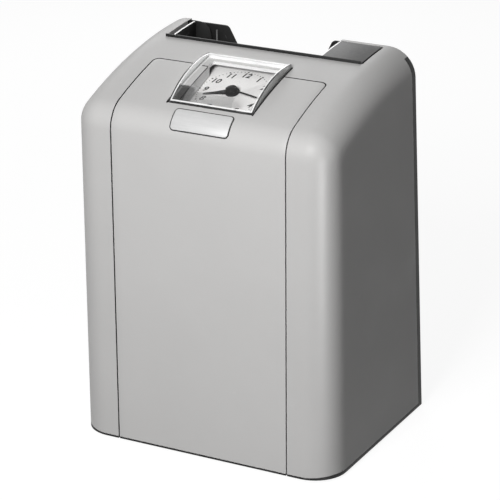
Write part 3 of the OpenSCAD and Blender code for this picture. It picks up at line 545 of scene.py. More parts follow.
metals = {
    "zincPlate": metal(grey(0.60, 0.01), grey(0.44, 0.02), grey(0.38, 0.03)),
    "guideSteel": metal(0.55, 0.42, stretch=(1.0, 1.0, 0.05)),
    "turnedSteel": metal(0.58, 0.4, stretch=(0.3, 1.0, 1.0), rough=0.28),
    "yellowBrass": metal((0.72, 0.55, 0.25, 1), (0.52, 0.37, 0.15, 1), (0.28, 0.17, 0.07, 1),
                         stretch=(0.2, 1.0, 1.0), rough=0.3),
    "copperCoil": metal((0.62, 0.30, 0.16, 1), (0.30, 0.12, 0.06, 1), stretch=(0.05, 0.05, 1.0),
                        fineness=2200.0, depth=0.25, rough=0.35),
    "bareEdgeHighlight": metal(0.85, 0.75, metallic=0.2, rough=0.4, tarnish=0.1, dust=0.0),
    "paleRibHighlight": metal(0.16, 0.07, metallic=0.3, rough=0.5, tarnish=0.1, dust=0.0),
    "lockChrome": metal(0.72, 0.6, rough=0.16, tarnish=0.15),
    "satinAluminium": metal(0.62, 0.52, 0.42, rough=0.5, metallic=0.1, stretch=(0.04, 1.0, 1.0), dust=0.05),
}


def dialCardMaterial(name, look):
    # Printed card: faint paper fibre and soft foxing
    material, tree, shader = startMaterial(name)
    place = objectPlace(tree)
    fibre = noise(tree, place, look["fibre"], 3.0)
    spots = noise(tree, place, look["spots"], 5.0, 0.7)
    foxing = rangeNode(tree, spots, 0.55, 0.75, 0.0, 0.3)
    tone = plus(tree, rangeNode(tree, fibre, 0.3, 0.7, 0.0, 0.12), foxing)
    setInputs(tree, shader, {"Base Color": mixColour(tree, tone, look["paper"], look["aged"]),
                             "Roughness": rangeNode(tree, spots, 0.4, 0.7, 0.62, 0.8),
                             "Normal": bumped(tree, fibre, 0.015)})
    return material


def ribbonMaterial(name, look):
    # Inked cloth: a plain weave of fine threads, with paler worn tracks
    material, tree, shader = startMaterial(name)
    place = objectPlace(tree)
    wave = {"Vector": place, "Scale": look["threads"] / 6, "Distortion": 0.6, "Detail": 1.0}
    weave = [addNode(tree, "ShaderNodeTexWave", wave, bands_direction=axis)["Fac"] for axis in "XZ"]
    height = plus(tree, weave[0], weave[1])
    worn = rangeNode(tree, noise(tree, place, 60.0, 4.0), 0.4, 0.7)
    colour = mixColour(tree, times(tree, worn, times(tree, height, 0.5)), look["ink"], look["worn"])
    setInputs(tree, shader, {"Base Color": colour, "Roughness": rangeNode(tree, height, 0.0, 2.0, 0.65, 0.85),
                             "Normal": bumped(tree, height, 0.06)})
    return material


def crystalMaterial(name, look):
    # Clear moulded plastic: a thin tint, fine scratches and finger haze in its gloss
    material, tree, shader = startMaterial(name)
    place = objectPlace(tree)
    marks = useGroup(tree, handling, {"Vector": place, "Scratches": 0.6})
    haze = noise(tree, place, 60.0, 5.0, 0.6)
    colour = mixColour(tree, haze, look["colour"], look["hazeColour"])
    film = rangeNode(tree, haze, 0.35, 0.75, look["alpha"] * 0.85, look["alpha"] * 1.15)
    film = plus(tree, film, times(tree, marks["Scratch Mask"], look["scratchFilm"]))
    for shadeTint, strength, sides, slant in look["zones"]:
        # A zone is a patch of painted shade in the sheet
        box = dict(zip(("Left", "Right", "Front", "Rear", "Softness"), (side * mm for side in sides)))
        mask = useGroup(tree, softZone, dict(box, Vector=place, Slant=slant))["Mask"]
        broken = rangeNode(tree, haze, 0.3, 0.7, 0.85, 1.0)
        colour = mixColour(tree, mask, colour, shadeTint)
        film = mathNode(tree, "MAXIMUM", film, times(tree, times(tree, mask, broken), strength))
    setInputs(tree, shader, {
        "Base Color": colour, "Alpha": film, "Specular IOR Level": look["gloss"],
        "Roughness": rangeNode(tree, haze, 0.35, 0.75, look["rough"], look["rough"] + 0.1),
        "Normal": bumped(tree, haze, 0.01)})
    if look["paintedGlow"]:
        # Painted light: the rim and band glow by emission, a painted highlight
        setInputs(tree, shader, {"Emission Color": (1, 1, 1, 1), "Emission Strength": look["paintedGlow"]})
    return material


crystalBase = {"colour": grey(0.85), "hazeColour": grey(0.95), "alpha": 0.018, "gloss": 0.22, "rough": 0.08,
               "scratchFilm": 0.12, "zones": [], "paintedGlow": 0.0}
crystals = {
    # zones of painted shade: tint, strength, (left, right, front, rear, softness) in mm, slant
    "crystalFace": dict(crystalBase, zones=[
        (grey(0.30), 0.42, (-17.0, 16.7, -57.0, -48.5, 1.2), 0.16),
        (grey(0.10), 0.55, (-24.0, -15.5, -57.0, -44.8, 3.0), 0.0),
        (grey(0.015), 0.82, (-30.5, -20.5, -57.0, -44.5, 1.5), 0.0),
    ]),
    "crystalRimHighlight": dict(crystalBase, alpha=0.7, colour=grey(0.62), hazeColour=grey(0.9), paintedGlow=0.35),
    "crystalEdgeShade": dict(crystalBase, alpha=0.97, colour=grey(0.008), hazeColour=grey(0.02)),
    "crystalBandHighlight": dict(crystalBase, alpha=0.8, colour=grey(0.8), paintedGlow=0.22),
    "crystalInside": dict(crystalBase, alpha=0.012, gloss=0.1),
    "crystalSideShade": dict(crystalBase, alpha=0.85, colour=grey(0.0), hazeColour=grey(0.75)),
}
cards = {"dialCard": {"paper": grey(0.83, 0.01), "aged": grey(0.66, 0.02), "fibre": 1800.0, "spots": 160.0}}
ribbons = {"inkedRibbon": {"ink": (0.012, 0.012, 0.03, 1), "worn": (0.05, 0.05, 0.085, 1), "threads": 2600.0}}

finish = {}
for looks, make in ((paints, sprayedEnamel), (metals, bareMetal), (crystals, crystalMaterial),
                    (cards, dialCardMaterial), (ribbons, ribbonMaterial)):
    for label, look in looks.items():
        finish[label] = make(label, look)
print("materials ready:", len(finish))


# Cover

coverSpec = {"frontColumns": 23, "cornerColumns": 10, "sideColumns": 26, "wallRows": 16, "arcRows": 10,
             "runOn": 9.0}


def turnedTo(a, b, share):
    # Unit vector part of the way along the arc from a to b
    angle = a.angle(b)
    if angle < 1e-6:
        return a.copy()
    return (a * sin((1 - share) * angle) + b * sin(share * angle)) / sin(angle)


def caseColumns(inset, low):
    # Half of the case, column by column: foot point, centre of the edge's round, way out and way up
    c, s = case, coverSpec
    edgeWay = Vector((0, -sin(c["edgeTurn"]), cos(c["edgeTurn"])))
    topHalf = halfAt(c["edgeZ"]) - c["edge"]
    footHalf, footY = c["half"] - c["cornerFoot"], c["front"] + c["cornerFoot"]
    columns = []
    for i in range(s["frontColumns"]):
        share = i / s["frontColumns"]
        foot = Vector((footHalf * share, c["front"] + inset, low))
        columns.append((foot, Vector((topHalf * share, c["edgeY"], c["edgeZ"])), Vector((0, -1, 0)), edgeWay))
    for i in range(s["cornerColumns"] + 1):
        a = pi / 2 * i / s["cornerColumns"]
        out = Vector((sin(a), -cos(a), 0))
        foot = Vector((footHalf, footY, low)) + out * (c["cornerFoot"] - inset)
        columns.append((foot, Vector((topHalf, c["edgeY"], c["edgeZ"])), out, edgeWay))
    lastTurn = -radians(s["runOn"])
    for i in range(1, s["sideColumns"] + 1):
        share = i / s["sideColumns"]
        turn = c["edgeTurn"] + (lastTurn - c["edgeTurn"]) * share
        up = Vector((0, -sin(turn), cos(turn)))
        bone = Vector((0, c["crownY"], c["crownZ"])) + up * c["innerR"]
        bone.x = halfAt(bone.z) - c["edge"]
        foot = Vector((c["half"] - inset, footY + (bone.y - footY) * share, low))
        columns.append((foot, bone, Vector((1, 0, 0)), up))
    return columns


def caseSkin(name, inset, low):
    # Closed rounded body of the case, drawn in by an inset, running on past the rear
    c, s = case, coverSpec
    r = c["edge"] - inset
    columns = caseColumns(inset, low)
    count = len(columns)
    rowShares = [0.0] + [(k + 1) / s["wallRows"] for k in range(s["wallRows"] - 1)] + [0.985, 1.0]
    tall = len(rowShares) + s["arcRows"]
    points, faces = [], []
    for side in (1, -1):
        for foot, bone, out, up in columns:
            top = bone + out * r
            line = [foot + (top - foot) * v for v in rowShares]
            line += [bone + turnedTo(out, up, k / s["arcRows"]) * r for k in range(1, s["arcRows"] + 1)]
            points += [(p.x * side, p.y, p.z) for p in line]
    for first in (0, count * tall):
        for a in range(first, first + (count - 1) * tall, tall):
            faces += [(a + k, a + tall + k, a + tall + k + 1, a + k + 1) for k in range(tall - 1)]
    # The crown between the two shoulders, from the front edge to the rear
    across = spaced(0.0, 1.0, s["frontColumns"])
    across = [-v for v in reversed(across[1:])] + across
    shoulders = columns[s["frontColumns"] + s["cornerColumns"]:]
    start, wide = len(points), len(across)
    for foot, bone, out, up in shoulders:
        points += [(bone.x * share, bone.y + up.y * r, bone.z + up.z * r) for share in across]
    for row in range(start, start + (len(shoulders) - 1) * wide, wide):
        faces += [(a, a + 1, a + wide + 1, a + wide) for a in range(row, row + wide - 1)]
    piece = makeMesh(name, points, faces)
    with reworked(piece) as bm:
        bmesh.ops.remove_doubles(bm, verts=bm.verts, dist=1e-6)
        # Foot and rear are open loops: the foot is closed first, then the rear is cut and closed
        footZ = (low + c["foot"]) * mm
        rims = [e for e in bm.edges if e.is_boundary]
        footEdges = [e for e in rims if all(abs(v.co.z - footZ) < 1e-7 for v in e.verts)]
        outer = {v for e in footEdges for v in e.verts if abs(v.co.x) > 0.05}
        footEdges.append(bm.edges.new(sorted(outer, key=lambda v: -v.co.y)[:2]))
        bmesh.ops.edgeloop_fill(bm, edges=footEdges)
        cut = sliced(bm, rearFoot - rearWay * (inset * mm), rearWay, clear_outer=True)
        bmesh.ops.edgeloop_fill(bm, edges=[e for e in cut["geom_cut"] if isinstance(e, bmesh.types.BMEdge)])
        bmesh.ops.recalc_face_normals(bm, faces=bm.faces)
    return piece


stripSpec = {"wallHeights": (60.0, 120.0, 180.0, 220.0), "edgeSteps": 12, "crownSteps": 12, "cornerSteps": 6,
             "across": 24}


def stripBody(name, half, end, cornerR, outer, inner, low):
    # Sheet that follows the front, the front edge and the crown, with round rear corners
    c, s = case, stripSpec
    stations = [(c["front"], z, Vector((-1, 0))) for z in (low,) + s["wallHeights"]]
    for a in spaced(0.0, pi / 2 - c["edgeTurn"], s["edgeSteps"]):
        way = Vector((-cos(a), sin(a)))
        stations.append((c["edgeY"] + c["edge"] * way.x, c["edgeZ"] + c["edge"] * way.y, way))
    ys = spaced(c["crownY"] - c["crownR"] * sin(c["edgeTurn"]), end - cornerR, s["crownSteps"])[1:]
    ys += [end - cornerR + cornerR * sin(a) for a in spaced(0.0, pi / 2, s["cornerSteps"])[1:]]
    for y in ys:
        turn = asin((c["crownY"] - y) / c["crownR"])
        stations.append((y, topAt(y), Vector((-sin(turn), cos(turn)))))
    points, faces = [], []
    columns = spaced(-1.0, 1.0, s["across"])
    for y, z, way in stations:
        past = max(0.0, y - (end - cornerR))
        width = half - cornerR + sqrt(max(0.0, cornerR ** 2 - past ** 2))
        for depth in (outer, inner):
            points += [(width * share, y - way.x * depth, z - way.y * depth) for share in columns]
    n = len(columns)
    last = (len(stations) - 1) * 2 * n
    for a in range(0, last, 2 * n):
        b = a + 2 * n
        for k in range(n - 1):
            faces.append((a + k, a + k + 1, b + k + 1, b + k))
            faces.append((a + n + k, b + n + k, b + n + k + 1, a + n + k + 1))
        faces.append((a, b, b + n, a + n))
        faces.append((a + n - 1, a + 2 * n - 1, b + 2 * n - 1, b + n - 1))
    for a in (0, last):
        faces += [(a + k, a + k + 1, a + n + k + 1, a + n + k) for k in range(n - 1)]
    return outward(makeMesh(name, points, faces))


panelSpec = {"half": 65.8, "end": -12.8, "corner": 4.0, "seam": 0.9, "thick": 1.6, "clear": 0.2,
             "bevel": 0.35}
windowSpec = {"left": -25.0, "right": 28.5, "front": -56.0, "rear": -4.4, "corner": 2.0, "low": 200.0,
              "middle": 1.0, "seatHalf": 32.3, "seatFront": -57.8, "seatRear": 0.3, "seatDepth": 0.8,
              "seatSteps": 16}


def windowTool():
    w = windowSpec
    outline = roundRect(w["left"], w["right"], w["front"], w["rear"], w["corner"])
    return prism("windowTool", outline, w["low"], case["above"])


def seatTool():
    # The shallow seat under the crystal follows the crown
    w = windowSpec
    outline = [(y, topAt(y, w["seatDepth"])) for y in spaced(w["seatFront"], w["seatRear"], w["seatSteps"])]
    outline += [(w["seatRear"], case["above"]), (w["seatFront"], case["above"])]
    return prism("seatTool", outline, w["middle"] - w["seatHalf"], w["middle"] + w["seatHalf"], alongX)


def closeGaps(bm):
    # Slivers that a cut has dropped are put back as triangles
    for edge in [e for e in bm.edges if len(e.link_faces) == 1]:
        if len(edge.link_faces) != 1:
            continue
        end = edge.link_loops[0].vert
        start = edge.other_vert(end)
        for other in end.link_edges:
            corner = other.other_vert(end)
            third = bm.edges.get((start, corner)) if corner is not start else None
            if third is None or len(other.link_faces) != 1 or len(third.link_faces) != 1:
                continue
            if (end.co - start.co).cross(corner.co - start.co).length > 1e-10:
                bm.faces.new((start, end, corner)).material_index = 0
                break


def triangles(piece):
    # Faces of many corners on a curved skin are cut up before they are smoothed
    with reworked(piece) as bm:
        closeGaps(bm)
        bmesh.ops.remove_doubles(bm, verts=bm.verts, dist=2e-6)
        bmesh.ops.dissolve_degenerate(bm, dist=2e-6, edges=bm.edges)
        bmesh.ops.triangulate(bm, faces=[f for f in bm.faces if len(f.verts) > 4])


edgingSpec = {"front": 1.5, "side": 2.8, "from": 80.0, "rear": 5.6}


def darkFoot(piece):
    # Painted shadow: a black band round the foot stands in for the shade of the gap under the case, deeper
    # along the two sides
    e = edgingSpec
    line = case["foot"] + e["front"]
    scored(piece, [("z", line)])
    repaint(piece, "blackEdgingAndShade", lambda at, n, kept: at.z < line and abs(n.z) < 0.5)
    for vert in piece.data.vertices:
        if abs(vert.co.z / mm - line) < 0.01:
            share = min(1.0, max(0.0, (abs(vert.co.x) / mm - e["from"]) / (case["half"] - e["from"])))
            vert.co.z += share * share * (3 - 2 * share) * (e["side"] - e["front"]) * mm


def darkRearEdge(piece):
    # The side walls' last millimetres before the rear rim are painted black
    at = rearFoot - rearWay * (edgingSpec["rear"] * mm)
    with reworked(piece) as bm:
        sliced(bm, at, rearWay)
    repaint(piece, "blackEdgingAndShade",
            lambda mid, n, kept: (mid * mm - at).dot(rearWay) > 0 and abs(n.x) > 0.75 and kept == 0)


def makeCover():
    c, p = case, panelSpec
    cover = caseSkin("caseCover", 0.0, 0.0)
    giveMaterial(cover, "caseEnamel")
    wide = c["half"] - c["rearRim"]
    rearHole = roundRect(-wide, wide, c["rearLow"], c["rearTop"], c["rearCorner"], 8)
    notch = roundRect(-c["notchHalf"], c["notchHalf"], c["lip"], c["notchRear"], c["notchCorner"])
    gapFront = c["notchRear"] - 1
    gap = [(c["gapLeft"], gapFront), (c["gapRight"], gapFront), (c["gapRight"], c["gapRear"]),
           (c["gapLeft"], c["gapRear"])]
    turns = spaced(0.0, 2 * pi, c["lockSides"])[:-1]
    lock = [(c["lockY"] + c["lockR"] * cos(a), c["lockZ"] + c["lockR"] * sin(a)) for a in turns]
    # The inside skin, the seam's recess and the lock hole are painted near black: painted shade where the
    # inside is seen
    cutBy(cover, caseSkin("caseInside", c["wall"], -1.0), "paintedInsideShade")
    cutBy(cover, prism("rearTool", rearHole, -c["wall"] - 1, 1.0, alongRear), "caseEnamel")
    cutBy(cover, stripBody("recessTool", p["half"] + p["seam"], p["end"] + p["seam"], p["corner"] + p["seam"],
                           -3.0, p["thick"] + p["clear"], -1.0), "paintedInsideShade")
    cutBy(cover, windowTool(), "wellWhite")
    cutBy(cover, seatTool(), "caseEnamel")
    cutBy(cover, prism("notchTool", notch, c["notchFloor"], c["above"]), "caseEnamel")
    cutBy(cover, prism("gapTool", gap, c["notchFloor"], c["above"]), "caseEnamel")
    cutBy(cover, prism("lockTool", lock, -c["half"] - 2, -c["half"] + c["lockDeep"], alongX),
          "paintedInsideShade")
    darkRearEdge(cover)
    darkFoot(cover)
    triangles(cover)
    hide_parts("cover")
    fitted(cover, None, "cover")
    print("cover:", len(cover.data.polygons), "faces")


def makePanel():
    p = panelSpec
    panel = stripBody("frontInlay", p["half"], p["end"], p["corner"], 0.0, p["thick"], 0.0)
    bevelled(panel, p["bevel"], 50)
    giveMaterial(panel, "panelEnamel")
    # The inlay's window edge is painted black: painted shade along the cut
    cutBy(panel, windowTool(), "blackEdgingAndShade")
    cutBy(panel, seatTool(), "panelEnamel")
    darkFoot(panel)
    triangles(panel)
    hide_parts("front_panel")
    fitted(panel, None, "cover")
    print("front inlay:", len(panel.data.polygons), "faces")


makeCover()
makePanel()

# CAD nodes that keep their shape get softened edges and a finish

plainNodes = {
    # node: (piece name, bevel in mm, finish, slot)
    # receiver_left takes the black crinkle instead of its grey slot: painted shade on its inner face
    "receiver_left": ("mouthWallLeft", 0.2, "crinkleBlackAndShade", "receiver_grey"),
    "top_plate": ("mouthTopPlate", 0.25, "receiverGrey", "receiver_grey"),
    "rear_plate": ("mouthRearPlate", 0.3, "crinkleBlackAndShade", "receiver_black"),
    "back_plate": ("backPlate", 0.25, "baseEnamel", "base_enamel"),
    "base_plate": ("basePlate", 0.3, "baseEnamel", "base_enamel"),
    "feet": ("rubberFeet", 0.3, "footRubber", "rubber"),
    "lock_barrel": ("lockBarrel", 0.25, "lockChrome", "lock_chrome"),
    "lock_plug": ("lockPlug", 0.15, "yellowBrass", "brass"),
    "inlet_bush": ("inletBush", 0.2, "mouldedBlack", "black_plastic"),
}
plain = {node: dressed(node, *spec) for node, spec in plainNodes.items()}

mouthSpec = {
    "bright": 1.2, "lipShadeLeft": -76.0, "lipShadeRight": 74.8, "lipShadeFront": 19.05, "lipShadeWide": 1.2,
    "lipShadeLow": 262.0, "lipShadeHigh": 270.75, "sideFront": 54.45, "sideThick": 1.0, "ribX": -55.6,
    "ribWide": 1.3, "ribLow": 246.0, "ribHigh": 267.0, "ribCorner": 0.6, "ribIn": 0.4, "ribThick": 1.0,
    "side": [(-76.2, 221.0), (-59.0, 221.0), (-59.0, 262.0), (-60.6, 267.5), (-64.0, 270.4), (-68.0, 271.4),
             (-76.2, 271.6)],
}


def finishMouth():
    # Painted highlights on the receiver plates' top edges, a black strip behind the lip as painted shade, a
    # black flange and a pale pressed rib
    m = mouthSpec
    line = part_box("top_plate")[0].x / mm + m["bright"]
    repaint(plain["receiver_left"], "bareEdgeHighlight", lambda at, n, kept: n.z > 0.6 and at.z > 250)
    scored(plain["top_plate"], [("x", line)])
    repaint(plain["top_plate"], "bareEdgeHighlight", lambda at, n, kept: n.z > 0.6 and at.x < line and at.z > 255)
    # The black strip behind the lip is painted shade, where the dark inside is seen over the lip
    front, rear = m["lipShadeFront"], m["lipShadeFront"] + m["lipShadeWide"]
    lipShade = [(front, m["lipShadeLow"]), (rear, m["lipShadeLow"]), (rear, m["lipShadeHigh"]), (front, m["lipShadeHigh"])]
    rib = roundRect(m["ribX"], m["ribX"] + m["ribWide"], m["ribLow"], m["ribHigh"], m["ribCorner"])
    side, ribFront = m["sideFront"], m["sideFront"] + m["ribIn"]
    # The rib's pale colour is a painted highlight along it
    for name, outline, low, high, place, bevel, label in (
            ("mouthLipShade", lipShade, m["lipShadeLeft"], m["lipShadeRight"], alongX, 0.2, "blackEdgingAndShade"),
            ("mouthSideFlange", m["side"], side, side + m["sideThick"], alongY, 0.2, "blackEdgingAndShade"),
            ("mouthPressedRib", rib, ribFront, ribFront + m["ribThick"], alongY, 0.3, "paleRibHighlight")):
        piece = bevelled(prism(name, outline, low, high, place), bevel)
        fitted(piece, label, "base")


finishMouth()
print("card mouth ready")

slotFinish = {
    "case_enamel": "caseEnamel", "panel_enamel": "panelEnamel", "crystal": "crystalFace",
    "nameplate": "satinAluminium", "lock_chrome": "lockChrome", "brass": "yellowBrass",
    "base_enamel": "baseEnamel", "rubber": "footRubber", "receiver_black": "crinkleBlackAndShade",
    "receiver_grey": "receiverGrey", "guide_steel": "guideSteel", "zinc": "zincPlate", "steel": "turnedSteel",
    "motor_grey": "motorGrey", "copper_coil": "copperCoil", "black_plastic": "mouldedBlack",
    "ribbon_cloth": "inkedRibbon", "dial_card": "dialCard", "hand_black": "handBlack",
}
for part in frame["record"]["subparts"]:
    giveMaterial(nodes[part["node"]], slotFinish[part["material_slot"]])  # every CAD node, shown or hidden
print("node finishes set")

# Dial

dialSpec = {
    "y": -24.0, "drop": 10.0, "tilt": 18.2, "lift": 0.02, "ink": 0.05,
    "numeralR": 21.1, "numeralH": 4.8, "perHeight": 1.45, "bold": 0.16, "slant": 0.25,
    "rings": {"dialMinuteDots": (60, 24.9, 0.7), "dialHourDots": (12, 25.1, 1.3)},  # count, radius, size
    "wellWall": 0.58, "wellClear": 0.02, "wellTop": 1.2, "wellRear": 6.0, "wellLift": 0.6, "wellSteps": 12,
}
dialZ = topAt(dialSpec["y"]) - dialSpec["drop"] + case["foot"]
dialTilt = radians(dialSpec["tilt"])
dialPlace = Matrix.Translation((0, dialSpec["y"] * mm, dialZ * mm)) @ Matrix.Rotation(dialTilt, 4, "X")
inkHeight = (dialSpec["lift"] + dialSpec["ink"] / 2) * mm


def makeNumerals():
    # Plain figures 1 to 12, upright on the card, as thin ink
    d = dialSpec
    joined = bmesh.new()
    for hour in range(1, 13):
        curve = bpy.data.curves.new("numeral%d" % hour, "FONT")
        curve.body = str(hour)
        curve.size = d["numeralH"] * d["perHeight"] * mm
        curve.align_x = curve.align_y = "CENTER"
        curve.extrude = d["ink"] / 2 * mm
        curve.offset = d["bold"] * mm
        curve.resolution_u = 4
        curve.shear = d["slant"]
        text = newPiece("numeral%d" % hour, curve)
        graph = bpy.context.evaluated_depsgraph_get()
        mesh = bpy.data.meshes.new_from_object(text.evaluated_get(graph), depsgraph=graph)
        a, r = radians(30 * hour), d["numeralR"] * mm
        mesh.transform(dialPlace @ Matrix.Translation((r * sin(a), r * cos(a), inkHeight)))
        joined.from_mesh(mesh)
        bpy.data.objects.remove(text)
        bpy.data.meshes.remove(mesh)
    bmesh.ops.remove_doubles(joined, verts=joined.verts, dist=1e-7)
    whole = bpy.data.meshes.new("dialNumerals")
    joined.to_mesh(whole)
    joined.free()
    fitted(newPiece("dialNumerals", whole), "numeralInk", "base", 0)


def spreadOut(tree, ins, outs, values):
    # Copies of a shape on points, made real and given their finish
    spread = addNode(tree, "GeometryNodeInstanceOnPoints", values)
    real = addNode(tree, "GeometryNodeRealizeInstances", {"Geometry": spread[0]})
    paint = addNode(tree, "GeometryNodeSetMaterial", {"Geometry": real[0], "Material": ins["Finish"]})
    setInputs(tree, outs, {"Geometry": paint[0]})
    return tree


def ringTree():
    # Small raised marks at even steps round a circle
    sizes = {"Count": 60, "Radius": 0.02, "Size": 0.0005, "Thickness": 0.00005, "Finish": "Material"}
    tree, ins, outs = newGroup("marksOnCircle", sizes, ("Geometry",), "Geometry")
    circle = addNode(tree, "GeometryNodeMeshCircle", {"Vertices": ins["Count"], "Radius": ins["Radius"]})
    mark = addNode(tree, "GeometryNodeMeshCylinder", {"Vertices": 10, "Radius": ins["Size"],
                                                      "Depth": ins["Thickness"]})
    return spreadOut(tree, ins, outs, {"Points": circle["Mesh"], "Instance": mark["Mesh"]})


def screwTree():
    # Slotted round-head screws, one on each point of the mesh that carries the modifier
    sizes = {"Geometry": "Geometry", "Head Radius": 0.003, "Head Height": 0.0016, "Slot Width": 0.0008,
             "Turn": origin, "Finish": "Material"}
    tree, ins, outs = newGroup("slottedScrews", sizes, ("Geometry",), "Geometry")
    radius, high = ins["Head Radius"], ins["Head Height"]
    head = addNode(tree, "GeometryNodeMeshCylinder", {"Vertices": 28, "Radius": radius, "Depth": high})
    long = times(tree, radius, 3.0)
    size = addNode(tree, "ShaderNodeCombineXYZ", {"X": long, "Y": ins["Slot Width"], "Z": high})
    lift = addNode(tree, "ShaderNodeCombineXYZ", {"Z": times(tree, high, 0.6)})
    slot = addNode(tree, "GeometryNodeMeshCube", {"Size": size["Vector"]})
    raised = addNode(tree, "GeometryNodeTransform", {"Geometry": slot["Mesh"],
                                                     "Translation": lift["Vector"]})
    solids = {"Mesh 1": head["Mesh"], "Mesh 2": raised["Geometry"]}
    carve = addNode(tree, "GeometryNodeMeshBoolean", solids, operation="DIFFERENCE")
    turn = addNode(tree, "FunctionNodeEulerToRotation", {"Euler": ins["Turn"]})
    return spreadOut(tree, ins, outs, {"Points": ins["Geometry"], "Instance": carve["Mesh"],
                                       "Rotation": turn["Rotation"]})


def grown(name, tree, values, points=((0, 0, 0),)):
    # Runs a Geometry Nodes tree on loose points and keeps the result as a plain mesh
    mesh = bpy.data.meshes.new(name)
    mesh.from_pydata([tuple(v * mm for v in p) for p in points], [], [])
    piece = newPiece(name, mesh)
    modifier = piece.modifiers.new("grow", "NODES")
    modifier.node_group = tree
    for item in tree.interface.items_tree:
        if item.item_type == "SOCKET" and item.in_out == "INPUT" and item.name in values:
            modifier[item.identifier] = values[item.name]
    return applied(piece)


marksOnCircle = ringTree()
slottedScrews = screwTree()


def makeDots():
    for name, (count, radius, size) in dialSpec["rings"].items():
        dots = grown(name, marksOnCircle, {
            "Count": count, "Radius": radius * mm, "Size": size / 2 * mm, "Thickness": dialSpec["ink"] * mm,
            "Finish": finish["numeralInk"]})
        moved(dots, dialPlace @ Matrix.Translation((0, 0, inkHeight)))
        fitted(dots, None, "base", 0)


def makeWell():
    # Pale sheet walls that close the space between the window and the card; the rear stays open for the hands
    d, w = dialSpec, windowSpec
    ys = spaced(w["front"], w["rear"] - d["wellRear"], d["wellSteps"])
    top = [(y, topAt(y, d["wellTop"])) for y in ys]
    cardZ = dialZ - case["foot"]
    low = [(y, cardZ + (y - d["y"]) * tan(dialTilt) + d["wellLift"]) for y in reversed(ys)]
    near, far = d["wellClear"], d["wellClear"] + d["wellWall"]
    fore, aft = w["front"] - far, w["front"] - near
    front = [(fore, low[-1][1]), (aft, low[-1][1]), (aft, top[0][1]), (fore, top[0][1])]
    for name, outline, left, right in (("wellLeft", top + low, w["left"] - far, w["left"] - near),
                                       ("wellRight", top + low, w["right"] + near, w["right"] + far),
                                       ("wellFront", front, w["left"] - far, w["right"] + far)):
        fitted(prism(name, outline, left, right, alongX), "wellWhite", "cover", 0)


hubSpec = {
    # piece: body, and its profile of (radius, height) over the card
    "handHubCap": ("arbor", [(4.1, 1.8), (4.1, 3.5), (3.75, 4.05), (3.2, 4.4), (1.6, 4.55), (0.6, 4.9),
                             (0.05, 4.95)]),
    "hourHandBoss": ("pipe", [(4.9, 0.3), (5.0, 0.5), (5.0, 1.4), (4.7, 1.7)]),
}
handSpec = {
    # hand: node, clockwise degrees from 12, height over the card, thickness, and its outline from the hub out
    "hourHand": ("hour_hand", 248.5, 1.2, 0.5, [
        (-2.9, -1.5), (-2.7, 4.0), (-1.5, 10.0), (-0.75, 19.6), (0.0, 20.4), (0.75, 19.6), (1.5, 10.0),
        (2.7, 4.0), (2.9, -1.5)]),
    "minuteHand": ("minute_hand", 102.0, 2.6, 0.5, [
        (-0.7, -5.0), (-0.6, 20.9), (-0.3, 21.7), (0.3, 21.7), (0.6, 20.9), (0.7, -5.0)]),
}


def makeHubs():
    for name, (body, profile) in hubSpec.items():
        fitted(moved(spun(name, profile), dialPlace), "handBlack", body, 35)


def makeHands():
    for name, (node, turn, rise, thick, outline) in handSpec.items():
        hand = prism(name, list(reversed(outline)), rise, rise + thick)
        lowered = Matrix.Translation((0, 0, -case["foot"] * mm))
        moved(hand, dialPlace @ Matrix.Rotation(-radians(turn), 4, "Z") @ lowered)
        bevelled(hand, 0.1)
        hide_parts(node)
        fitted(hand, "handBlack", bodyOf[node])


makeNumerals()
makeDots()
makeWell()
makeHubs()
dressed("dial_plate", "dialCard", 0.12, "dialCard", "dial_card")
makeHands()
print("dial ready")

# Crystal

crystalSpec = {
    "middle": 1.0, "half": 32.0, "front": -57.5, "rear": 0.0, "bulge": 78.0, "rise": 2.6, "thick": 1.5,
    "sideLow": 0.75, "foreWall": 2.0, "below": 240.0, "steps": 28, "bevel": 0.25, "inset": 1.2,
    "foreInset": 1.4, "line": 1.1, "shine": 2.0, "band": -4.2, "gasket": 0.9, "gasketHigh": 0.6,
    "gasketLow": 0.4, "gasketSteps": 24, "gasketBevel": 0.15, "foreGasket": 0.5, "foreHigh": 0.2,
    "foreLow": 0.6,
}


